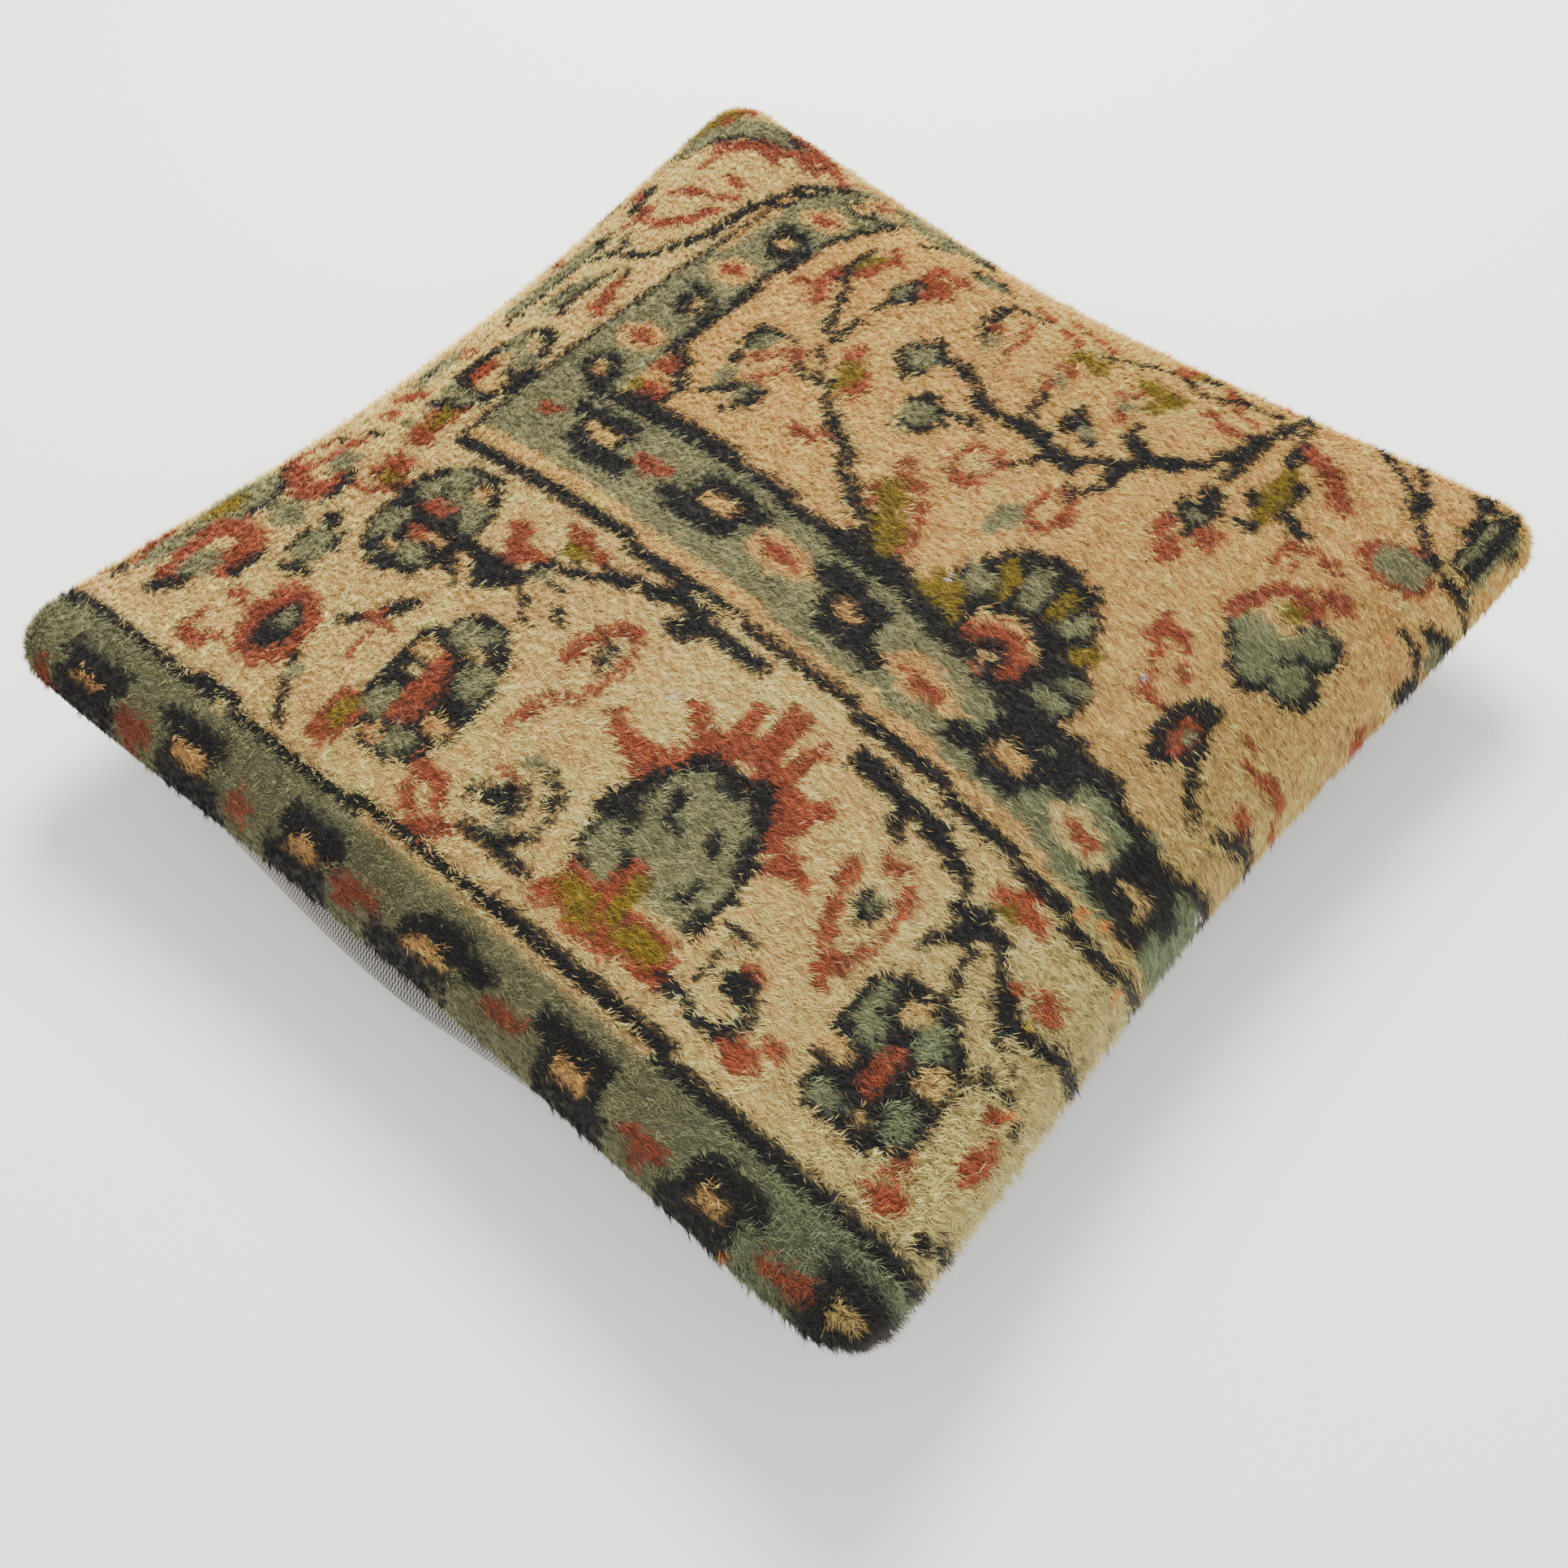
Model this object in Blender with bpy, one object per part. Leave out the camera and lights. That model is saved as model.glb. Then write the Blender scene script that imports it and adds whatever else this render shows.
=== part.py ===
"""Square floor cushion: a zipped cover with a hand-knotted rug front and a cotton back, round an insert.

Metres, +Z up. The origin is on the floor below the middle of the cushion. X runs along the zip, which
crosses the underside near the +Y side. Each skin is a grid over u and v, from -1 at one side of the
cushion to +1 at the other.
"""
import math

import bmesh
import bpy
from mathutils import Matrix, Vector

# The whole cushion, over the pile
SIDE = 0.500                # from corner to corner along one side
SEAM_HEIGHT = 0.056         # side seam above the floor, half-way along a side
CROWN_RISE = 0.068          # pile tips in the middle above that seam
CORNER_RADIUS = 0.028
SIDE_PULL = 0.014           # how far each side curves in between its corners
CORNER_LIFT = 0.012         # how far the seam climbs towards each corner
LIFT_SHARPNESS = 1.8
CROWN_FULLNESS = 0.66       # exponent of the dome: smaller is fuller
BELLY_FULLNESS = 0.32
CORNER_PINCH = 0.35         # added to the exponent towards each corner, where the cushion is thin
BELLY_OVERFILL = 1.25       # the belly would sink this much further if the floor were not there
BELLY_EDGE_ROUND = 0.009

# Cloths
PILE_HEIGHT = 0.008
FOUNDATION = 0.0025         # woven warps and wefts that the pile is knotted on
BACK_CLOTH = 0.0012
CASE_CLOTH = 0.0006
GAP = 0.0003                # between pieces that touch
EDGE_CORE = 0.0045          # radius left inside the rug where it turns over the side
SEAM_THREAD = 0.0010

# Insert
INSERT_EASE = 0.004         # between the insert's side and the cover's
INSERT_TOP_EASE = 0.0020
INSERT_BASE_EASE_SHARE = 0.10    # ease under the insert as a share of the belly's depth
INSERT_EDGE_ROUND = 0.010
INSERT_SEAM_DROP = 0.005    # the insert's seam lies this far below the cover's
INSERT_CORNER_EASE = 0.030  # the insert's corners are this much rounder than the cover's
CLOSING_STITCH_LENGTH = 0.110
CLOSING_THREAD = 0.0009
CLOSING_PARTS = 8

# Zip, in its own frame: x along it, s across it, h up into the cushion from the cloth's outer face
ZIP_FROM_SIDE = 0.065       # zip's middle line to the corner line of the +Y side
ZIP_END_MARGIN = 0.080      # zip's ends to the corner lines of the X sides
ZIP_HEIGHT = 0.008          # middle line above the floor
ZIP_TILT = math.radians(8)
BAND_OVER_TAPE = 0.003      # flat cloth beyond the tape's edge
BAND_END = 0.016            # flat cloth beyond the zip's ends
BAND_FADE = 0.018           # width over which the flat band turns into the belly
TAPE_WIDTH = 0.0115
TAPE_THICKNESS = 0.0007
TAPE_TAIL = 0.010
HALF_SLIT = 0.0006          # half the slit between the two tapes, which the slider's web runs in
COIL_WIDTH = 0.0028
COIL_HEIGHT = 0.0020
STOP_LENGTH = 0.0025
OPENING_END = 0.004         # cloth opening beyond each end of the coil

# Slider and pull tab
SLIDER_LENGTH = 0.011
SLIDER_TAIL_SHARE = 0.80    # width at the tail as a share of the width at the nose
PLATE = 0.0010
SLIDER_CLEARANCE = 0.0004
FLANGE = 0.0008
HALF_WEB = 0.0003
WEB_LENGTH = 0.0035
LIP_CLEARANCE = 0.0006      # between the slider's side and the folded edge of the cloth
BAIL_WINDOW = 0.0026        # length of the window through the bail
BAIL_CLEAR = 0.0024         # its height
BAIL_BAR = 0.0010
BAIL_HALF_WIDTH = 0.0012
TAB_THICKNESS = 0.0012
TAB_LENGTH = 0.023
TAB_HALF_WIDTH = 0.0029
TAB_EYE_HALF_WIDTH = 0.0017
TAB_EYE_LENGTH = 0.0034
TAB_END_PARTS = 6           # sides of the tab's round end

TOPSTITCH_FROM_LIP = 0.0028
TOPSTITCH_WIDTH = 0.0006
TOPSTITCH_HEIGHT = 0.0004

# Mesh
EDGE_LINES = (0.0, 0.0016, 0.005, 0.011, 0.019, 0.028)
FIELD_STEP = 0.040
STRAIGHT_SHARE = 8          # power that keeps the side's inward curve close to the side
STEP = 1e-4                 # for slopes
SKIN_REACH = 0.999
PLACE_ROUNDS = 12           # rounds of the search for the grid place above a spot on the floor plan

# Fitted sizes
HALF = SIDE / 2
RUG = PILE_HEIGHT + GAP + FOUNDATION
RUG_EDGE_ROUND = RUG + EDGE_CORE
INSERT_BASE_EASE = INSERT_BASE_EASE_SHARE * SEAM_HEIGHT
SEAM_GAP = SEAM_THREAD + 4 * GAP
BACK_INSET = PILE_HEIGHT + GAP
ZIP_Y = HALF - ZIP_FROM_SIDE
ZIP_HALF = HALF - ZIP_END_MARGIN
TAPE_BASE = BACK_CLOTH + GAP
TAPE_TOP = TAPE_BASE + TAPE_THICKNESS
COIL_TOP = TAPE_BASE - GAP
COIL_BASE = COIL_TOP - COIL_HEIGHT
COIL_EDGE = HALF_SLIT + COIL_WIDTH
TAPE_EDGE = HALF_SLIT + TAPE_WIDTH
FLANGE_INNER = COIL_EDGE + SLIDER_CLEARANCE
SLIDER_HALF_WIDTH = FLANGE_INNER + FLANGE
LIP = SLIDER_HALF_WIDTH + LIP_CLEARANCE
OUTER_PLATE_TOP = COIL_BASE - SLIDER_CLEARANCE
OUTER_PLATE_BASE = OUTER_PLATE_TOP - PLATE
INNER_PLATE_BASE = TAPE_TOP + SLIDER_CLEARANCE
INNER_PLATE_TOP = INNER_PLATE_BASE + PLATE
PIVOT_HEIGHT = OUTER_PLATE_BASE - BAIL_CLEAR / 2
SLIDER_REST_X = -ZIP_HALF + GAP + SLIDER_LENGTH / 2
BAND_HALF = TAPE_EDGE + BAND_OVER_TAPE
BAND_HALF_LENGTH = ZIP_HALF + BAND_END
BAND_LINES_X = (-BAND_HALF_LENGTH, BAND_HALF_LENGTH)
BAND_LINES_Y = (ZIP_Y - BAND_HALF - BAND_FADE, ZIP_Y - BAND_HALF, ZIP_Y, ZIP_Y + BAND_HALF)
ZIP_FRAME = Matrix.Translation((0, ZIP_Y, ZIP_HEIGHT)) @ Matrix.Rotation(ZIP_TILT, 4, "X")


def fade(distance, width):
    """1 where distance is 0 or less, falling smoothly to 0 at width."""
    t = min(max(distance / width, 0.0), 1.0)
    return 1 - t * t * (3 - 2 * t)


def quarter_round(distance, radius):
    """Share of its full height that a rounded edge has reached at a distance from the side."""
    inward = min(max(distance / radius, 0.0), 1.0)
    return math.sqrt(1 - (1 - inward) ** 2)


def seam_height(u, v):
    return SEAM_HEIGHT + CORNER_LIFT * abs(u * v) ** LIFT_SHARPNESS


def band_weight(x, y):
    """1 on the flat band that holds the zip, fading to 0 on the belly round it."""
    across = abs(y - ZIP_Y) - BAND_HALF
    along = abs(x) - BAND_HALF_LENGTH
    return fade(across, BAND_FADE) * fade(along, BAND_FADE)


class Skin:
    """A surface from side to side of the cushion. sign is +1 above the seam and -1 below it."""

    def __init__(self, sign, inset, corner):
        self.sign = sign
        self.half = HALF - inset
        self.corner = corner

    def corner_place(self, u, v):
        """How far u, v reaches past each side's straight part, before and after rounding the corner."""
        straight = self.half - self.corner
        over_x = max(abs(u) * self.half - straight, 0.0)
        over_y = max(abs(v) * self.half - straight, 0.0)
        round_x = over_x * math.sqrt(1 - over_y ** 2 / (2 * self.corner ** 2))
        round_y = over_y * math.sqrt(1 - over_x ** 2 / (2 * self.corner ** 2))
        return over_x, over_y, round_x, round_y

    def plan(self, u, v):
        """Place of u, v on the floor plan: a square with round corners whose sides curve in."""
        over_x, over_y, round_x, round_y = self.corner_place(u, v)
        x = abs(u) * self.half - over_x + round_x
        y = abs(v) * self.half - over_y + round_y
        pull_x = SIDE_PULL * (1 - (y / self.half) ** 2) * (x / self.half) ** STRAIGHT_SHARE
        pull_y = SIDE_PULL * (1 - (x / self.half) ** 2) * (y / self.half) ** STRAIGHT_SHARE
        return Vector((math.copysign(x - pull_x, u), math.copysign(y - pull_y, v)))

    def from_side(self, u, v):
        """Distance in from the side, right up to the skin's corner radius."""
        _, _, round_x, round_y = self.corner_place(u, v)
        return self.corner - math.hypot(round_x, round_y)

    def normal(self, u, v):
        """Outward direction: level at the seam, and square to the skin everywhere else."""
        if abs(u) == 1 and abs(v) == 1:
            return Vector((u, v, 0)).normalized()
        if abs(u) == 1 or abs(v) == 1:
            du, dv = (0, STEP) if abs(u) == 1 else (STEP, 0)
            along = self.plan(u + du, v + dv) - self.plan(u - du, v - dv)
            level = Vector((along.y, -along.x, 0)).normalized()
            outward = level.x * (abs(u) == 1) * u + level.y * (abs(v) == 1) * v
            return level if outward > 0 else -level
        across = self.point(u + STEP, v) - self.point(u - STEP, v)
        along = self.point(u, v + STEP) - self.point(u, v - STEP)
        return self.sign * across.cross(along).normalized()


class CoverSkin(Skin):
    """The outer face of the rug or of the back."""

    def __init__(self, sign, inset, rise, edge_round, fullness, overfill=1.0):
        super().__init__(sign, inset, CORNER_RADIUS - inset)
        self.full = rise * overfill - SEAM_GAP / 2 - edge_round
        self.edge_round = edge_round
        self.fullness = fullness

    def point(self, u, v):
        x, y = self.plan(u, v)
        dome = ((1 - u * u) * (1 - v * v)) ** (self.fullness + CORNER_PINCH * abs(u * v))
        edge = self.edge_round * quarter_round(self.from_side(u, v), self.edge_round)
        z = seam_height(u, v) + self.sign * (SEAM_GAP / 2 + edge + self.full * dome)
        if self.sign < 0:
            z = max(z, 0.0)
            band = ZIP_HEIGHT + (y - ZIP_Y) * math.tan(ZIP_TILT)
            z += band_weight(x, y) * (band - z)
        return Vector((x, y, z))

    def inner_height(self, x, y, wall):
        """Height of the inner face of a wall of this thickness, at a place on the floor plan."""
        u, v = x / self.half, y / self.half
        for _ in range(PLACE_ROUNDS):
            place = self.plan(u, v)
            u = min(max(u + (x - place.x) / self.half, -SKIN_REACH), SKIN_REACH)
            v = min(max(v + (y - place.y) / self.half, -SKIN_REACH), SKIN_REACH)
        return self.point(u, v).z - self.sign * wall / abs(self.normal(u, v).z)


class InsertSkin(Skin):
    """The top or the base of the insert: the cover's inner face less an ease, drawn in to its own seam."""

    def __init__(self, cover, wall, ease):
        inset = RUG + INSERT_EASE
        super().__init__(cover.sign, inset, CORNER_RADIUS - inset + INSERT_CORNER_EASE)
        self.cover = cover
        self.wall = wall
        self.ease = ease

    def point(self, u, v):
        x, y = self.plan(u, v)
        seam = seam_height(u, v) - INSERT_SEAM_DROP
        room = self.sign * (self.cover.inner_height(x, y, self.wall) - seam) - self.ease - GAP
        if self.sign < 0:
            room -= band_weight(x, y) * (INNER_PLATE_TOP - BACK_CLOTH)
        edge = quarter_round(self.from_side(u, v), INSERT_EDGE_ROUND)
        return Vector((x, y, seam + self.sign * (GAP / 2 + room * edge)))


RUG_SKIN = CoverSkin(1, 0.0, CROWN_RISE, RUG_EDGE_ROUND, CROWN_FULLNESS)
BELLY_SKIN = CoverSkin(-1, BACK_INSET, SEAM_HEIGHT, BELLY_EDGE_ROUND, BELLY_FULLNESS, BELLY_OVERFILL)
INSERT_TOP_SKIN = InsertSkin(RUG_SKIN, RUG, INSERT_TOP_EASE)
INSERT_BASE_SKIN = InsertSkin(BELLY_SKIN, BACK_CLOTH, INSERT_BASE_EASE)


# ---------------------------------------------------------------- grids over the skins

def grid_lines(skin, extra=()):
    """Lines across the skin, as shares of its half side: close together where it turns over, wide inside.

    The lines of the field lie at the same places in every skin, and extra adds its own places to them.
    """
    edge = [1 - d / skin.half for d in EDGE_LINES]
    count = int((skin.half - EDGE_LINES[-1] - FIELD_STEP / 3) / FIELD_STEP)
    field = [i * FIELD_STEP for i in range(-count, count + 1)]
    field = [t for t in field if all(abs(t - w) > FIELD_STEP / 3 for w in extra)]
    return sorted([-e for e in edge] + edge + [t / skin.half for t in (*field, *extra)])


def skin_grid(skin, us, vs, depth):
    """Points of the skin, moved in by depth, as rows of columns."""
    return [[skin.point(u, v) - depth * skin.normal(u, v) for v in vs] for u in us]


def add_sheet(bm, rows, facing_up):
    """Triangles over a grid of points, with diagonals that run out from the middle. Returns its vertices."""
    verts = [[bm.verts.new(p) for p in row] for row in rows]
    for i in range(len(rows) - 1):
        for j in range(len(rows[0]) - 1):
            a, b, c, d = verts[i][j], verts[i + 1][j], verts[i + 1][j + 1], verts[i][j + 1]
            same_sign = (2 * i + 1 < len(rows) - 1) == (2 * j + 1 < len(rows[0]) - 1)
            for triangle in ([a, b, c], [a, c, d]) if same_sign else ([a, b, d], [b, c, d]):
                bm.faces.new(triangle if facing_up else triangle[::-1])
    return verts


def rim(verts):
    """The grid's outermost vertices in order, anticlockwise from above."""
    low = [row[0] for row in verts[:-1]]
    right = verts[-1][:-1]
    high = [row[-1] for row in verts[:0:-1]]
    left = verts[0][:0:-1]
    return low + right + high + left


def closed_mesh(outer_rows, inner_rows):
    """Two grids joined along their rims into one closed body. add_object turns its faces out."""
    bm = bmesh.new()
    outer = rim(add_sheet(bm, outer_rows, True))
    inner = rim(add_sheet(bm, inner_rows, False))
    for i in range(len(outer)):
        j = (i + 1) % len(outer)
        bm.faces.new([outer[i], inner[i], inner[j], outer[j]])
    return bm


def shell_mesh(skin, us, vs, outer_depth, inner_depth):
    """A closed shell between two depths below the skin."""
    return closed_mesh(skin_grid(skin, us, vs, outer_depth), skin_grid(skin, us, vs, inner_depth))


def seam_path(skin, us, vs, depth):
    """Level path round the seam, at a depth inside the skin's side."""
    ring = [(u, -1) for u in us[:-1]] + [(1, v) for v in vs[:-1]]
    ring += [(u, 1) for u in us[:0:-1]] + [(-1, v) for v in vs[:0:-1]]
    path = []
    for u, v in ring:
        flat = skin.plan(u, v).to_3d() - depth * skin.normal(u, v)
        path.append(Vector((flat.x, flat.y, seam_height(u, v))))
    return path


# ---------------------------------------------------------------- Blender helpers

def clear_scene():
    for obj in list(bpy.data.objects):
        bpy.data.objects.remove(obj, do_unlink=True)


def material(name, color, roughness, metallic=0.0):
    mat = bpy.data.materials.new(name)
    mat.use_nodes = True
    shader = mat.node_tree.nodes["Principled BSDF"]
    shader.inputs["Base Color"].default_value = (*color, 1)
    shader.inputs["Roughness"].default_value = roughness
    shader.inputs["Metallic"].default_value = metallic
    return mat


def add_object(name, bm, mat, parent=None, smooth=True):
    bmesh.ops.recalc_face_normals(bm, faces=bm.faces)
    mesh = bpy.data.meshes.new(name)
    bm.to_mesh(mesh)
    bm.free()
    if smooth:
        mesh.shade_smooth()
        mesh.set_sharp_from_angle(angle=math.radians(40))
    mesh.materials.append(mat)
    obj = bpy.data.objects.new(name, mesh)
    obj.parent = parent
    bpy.context.scene.collection.objects.link(obj)
    return obj


def add_empty(name, matrix, parent=None):
    obj = bpy.data.objects.new(name, None)
    obj.parent = parent
    obj.matrix_local = matrix
    bpy.context.scene.collection.objects.link(obj)
    return obj


def add_tube(name, path, diameter, mat, cyclic):
    """A thread along a path, with round section and closed ends."""
    curve = bpy.data.curves.new(name, "CURVE")
    curve.dimensions = "3D"
    curve.bevel_depth = diameter / 2
    curve.bevel_resolution = 1
    curve.use_fill_caps = not cyclic
    spline = curve.splines.new("POLY")
    spline.points.add(len(path) - 1)
    for point, place in zip(spline.points, path):
        point.co = (*place, 1)
    spline.use_cyclic_u = cyclic
    curve.materials.append(mat)
    obj = bpy.data.objects.new(name, curve)
    bpy.context.scene.collection.objects.link(obj)
    return obj


def block_mesh(x, s, h, bevel=0.0):
    """A block between pairs of limits along x, s and h, with its long edges rounded."""
    bm = bmesh.new()
    size = Matrix.Diagonal((x[1] - x[0], s[1] - s[0], h[1] - h[0], 1))
    middle = Matrix.Translation(((x[0] + x[1]) / 2, (s[0] + s[1]) / 2, (h[0] + h[1]) / 2))
    bmesh.ops.create_cube(bm, size=1, matrix=middle @ size)
    if bevel:
        bmesh.ops.bevel(bm, geom=bm.edges[:], offset=bevel, segments=2, profile=0.5,
                        affect="EDGES", material=-1)
    return bm


def prism_mesh(outline, low, high):
    """An outline in x and s, extruded from one height to another."""
    bm = bmesh.new()
    face = bm.faces.new([bm.verts.new((x, s, low)) for x, s in outline])
    side = bmesh.ops.extrude_face_region(bm, geom=[face])
    top = [v for v in side["geom"] if isinstance(v, bmesh.types.BMVert)]
    bmesh.ops.translate(bm, verts=top, vec=(0, 0, high - low))
    return bm


def add_tool(name, bm, parent=None):
    """A guide for a Boolean, which isn't part of the cushion."""
    bmesh.ops.recalc_face_normals(bm, faces=bm.faces)
    mesh = bpy.data.meshes.new(name)
    bm.to_mesh(mesh)
    bm.free()
    obj = bpy.data.objects.new(name, mesh)
    obj.parent = parent
    obj.hide_render = True
    obj.display_type = "WIRE"
    bpy.context.scene.collection.objects.link(obj)
    return obj


def boolean(obj, tool, operation):
    modifier = obj.modifiers.new(tool.name, "BOOLEAN")
    modifier.operation = operation
    modifier.solver = "EXACT"
    modifier.object = tool


# ---------------------------------------------------------------- cover

def build_rug():
    """The front: knotted pile on its woven foundation, turned over the sides down to the seam."""
    lines = grid_lines(RUG_SKIN)
    wool = material("wool_pile", (0.45, 0.33, 0.19), 0.9)
    warp = material("rug_foundation", (0.62, 0.56, 0.45), 0.9)
    pile = shell_mesh(RUG_SKIN, lines, lines, 0.0, PILE_HEIGHT)
    add_object("rug_pile", pile, wool)
    weave = shell_mesh(RUG_SKIN, lines, lines, PILE_HEIGHT + GAP, RUG)
    add_object("rug_foundation", weave, warp)


def build_seam_thread():
    lines = grid_lines(RUG_SKIN)
    path = seam_path(RUG_SKIN, lines, lines, BACK_INSET + FOUNDATION / 2)
    thread = material("seam_thread", (0.5, 0.48, 0.42), 0.7)
    add_tube("perimeter_seam_thread", path, SEAM_THREAD, thread, True)


def opening_outline(side):
    """What is cut from the back cloth to leave a panel: side is -1 for the main panel, +1 for the strip."""
    far = 2 * SIDE
    slit, lip = side * GAP / 2, side * LIP * math.cos(ZIP_TILT)
    end = ZIP_HALF + OPENING_END
    steps = [(-far, slit), (-end, slit), (-end, lip), (end, lip), (end, slit), (far, slit)]
    outline = [(x, ZIP_Y + s) for x, s in steps]
    return outline + [(far, ZIP_Y - side * far), (-far, ZIP_Y - side * far)]


def build_back_panels():
    """The back: a main panel and a narrow strip, with the zip between them."""
    us = grid_lines(BELLY_SKIN, BAND_LINES_X)
    vs = grid_lines(BELLY_SKIN, BAND_LINES_Y)
    canvas = material("back_canvas", (0.30, 0.29, 0.28), 0.85)
    for name, side in (("back_panel_main", -1), ("back_panel_strip", 1)):
        bm = shell_mesh(BELLY_SKIN, us, vs, 0.0, BACK_CLOTH)
        panel = add_object(name, bm, canvas)
        cutter = add_tool(name + "_cutter", prism_mesh(opening_outline(side), -SIDE, SIDE))
        boolean(panel, cutter, "DIFFERENCE")


# ---------------------------------------------------------------- zip

def build_tapes(frame):
    tape = material("zip_tape", (0.26, 0.25, 0.24), 0.8)
    coil = material("zip_coil", (0.30, 0.29, 0.27), 0.45)
    tail = ZIP_HALF + TAPE_TAIL
    for side, name in ((-1, "main"), (1, "strip")):
        across = sorted((side * HALF_SLIT, side * TAPE_EDGE))
        bm = block_mesh((-tail, tail), across, (TAPE_BASE, TAPE_TOP))
        add_object("zip_tape_" + name, bm, tape, frame, smooth=False)
        across = sorted((side * HALF_SLIT, side * COIL_EDGE))
        bm = block_mesh((-ZIP_HALF, ZIP_HALF), across, (COIL_BASE, COIL_TOP), COIL_HEIGHT / 3)
        add_object("zip_coil_" + name, bm, coil, frame)


def build_stops(frame):
    metal = material("zip_stops", (0.55, 0.53, 0.50), 0.35, 1.0)
    start = ZIP_HALF + GAP
    height = (COIL_BASE, COIL_TOP)
    for side, name in ((-1, "main"), (1, "strip")):
        across = sorted((side * HALF_SLIT, side * COIL_EDGE))
        bm = block_mesh((-start - STOP_LENGTH, -start), across, height, FLANGE / 2)
        add_object("zip_top_stop_" + name, bm, metal, frame)
    bm = block_mesh((start, start + STOP_LENGTH), (-COIL_EDGE, COIL_EDGE), height, FLANGE / 2)
    add_object("zip_bottom_stop", bm, metal, frame)


def slider_outline(half_width):
    """From below: wide at the nose, where the tapes enter, narrower at the tail, with round corners."""
    nose, tail = -SLIDER_LENGTH / 2, SLIDER_LENGTH / 2
    narrow = half_width * SLIDER_TAIL_SHARE
    chamfer = FLANGE
    upper = [(nose + chamfer, half_width), (0.0, half_width)]
    upper += [(tail - chamfer, narrow), (tail, narrow - chamfer)]
    lower = [(x, -s) for x, s in reversed(upper)]
    return [(nose, half_width - chamfer)] + upper + lower + [(nose, -half_width + chamfer)]


def build_slider(frame):
    """The cast slider: two plates joined by a web, flanges over the coil, and a bail for the pull tab."""
    metal = material("zip_slider", (0.62, 0.60, 0.56), 0.3, 1.0)
    carrier = add_empty("slider_travel", Matrix.Translation((SLIDER_REST_X, 0, 0)), frame)
    outline = slider_outline(SLIDER_HALF_WIDTH)
    outer = prism_mesh(outline, OUTER_PLATE_BASE, OUTER_PLATE_TOP)
    body = add_object("zip_slider_body", outer, metal, carrier)
    nose = -SLIDER_LENGTH / 2
    overlap = PLATE / 4
    web = block_mesh((nose + FLANGE, nose + FLANGE + WEB_LENGTH), (-HALF_WEB, HALF_WEB),
                     (OUTER_PLATE_TOP - overlap, INNER_PLATE_BASE + overlap))
    inner = prism_mesh(outline, INNER_PLATE_BASE, INNER_PLATE_TOP)
    boolean(body, add_tool("slider_web", web, carrier), "UNION")
    boolean(body, add_tool("slider_inner_plate", inner, carrier), "UNION")
    for side, name in ((-1, "main"), (1, "strip")):
        across = sorted((side * FLANGE_INNER, side * SLIDER_HALF_WIDTH))
        flange = block_mesh((nose + FLANGE, 0.0), across,
                            (OUTER_PLATE_TOP - overlap, TAPE_BASE - SLIDER_CLEARANCE))
        boolean(body, add_tool("slider_flange_" + name, flange, carrier), "UNION")
    half_bail = BAIL_WINDOW / 2 + BAIL_BAR
    bail_base = OUTER_PLATE_BASE - BAIL_CLEAR - BAIL_BAR
    bail = block_mesh((-half_bail, half_bail), (-BAIL_HALF_WIDTH, BAIL_HALF_WIDTH),
                      (bail_base, OUTER_PLATE_BASE + overlap), BAIL_BAR / 3)
    window = block_mesh((-BAIL_WINDOW / 2, BAIL_WINDOW / 2), (-LIP, LIP),
                        (OUTER_PLATE_BASE - BAIL_CLEAR, OUTER_PLATE_BASE))
    bail_tool = add_tool("slider_bail", bail, carrier)
    boolean(bail_tool, add_tool("bail_window", window, carrier), "DIFFERENCE")
    boolean(body, bail_tool, "UNION")
    return carrier


def build_pull_tab(carrier):
    """The flat pull tab. Its eye bar turns in the slider's bail."""
    metal = material("zip_pull", (0.62, 0.60, 0.56), 0.28, 1.0)
    pivot = add_empty("pull_tab_pivot", Matrix.Translation((0, 0, PIVOT_HEIGHT)), carrier)
    bar = TAB_THICKNESS / 2
    end = TAB_LENGTH - TAB_HALF_WIDTH
    outline = [(-bar, -TAB_HALF_WIDTH)]
    for i in range(TAB_END_PARTS + 1):
        turn = -math.pi / 2 + math.pi * i / TAB_END_PARTS
        outline.append((end + TAB_HALF_WIDTH * math.cos(turn), TAB_HALF_WIDTH * math.sin(turn)))
    outline.append((-bar, TAB_HALF_WIDTH))
    tab = add_object("zip_pull_tab", prism_mesh(outline, -bar, bar), metal, pivot)
    eye = block_mesh((bar, bar + TAB_EYE_LENGTH), (-TAB_EYE_HALF_WIDTH, TAB_EYE_HALF_WIDTH),
                     (-2 * bar, 2 * bar))
    boolean(tab, add_tool("tab_eye", eye, pivot), "DIFFERENCE")


def build_topstitch(frame):
    """The two rows of stitches that hold the cloth's folded edges to the tapes."""
    thread = material("topstitch_thread", (0.42, 0.40, 0.36), 0.7)
    reach = ZIP_HALF + OPENING_END
    for side, name in ((-1, "main"), (1, "strip")):
        row = LIP + TOPSTITCH_FROM_LIP
        across = sorted((side * row, side * (row + TOPSTITCH_WIDTH)))
        bm = block_mesh((-reach, reach), across, (-GAP - TOPSTITCH_HEIGHT, -GAP))
        add_object("topstitch_" + name, bm, thread, frame, smooth=False)


# ---------------------------------------------------------------- insert

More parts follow.
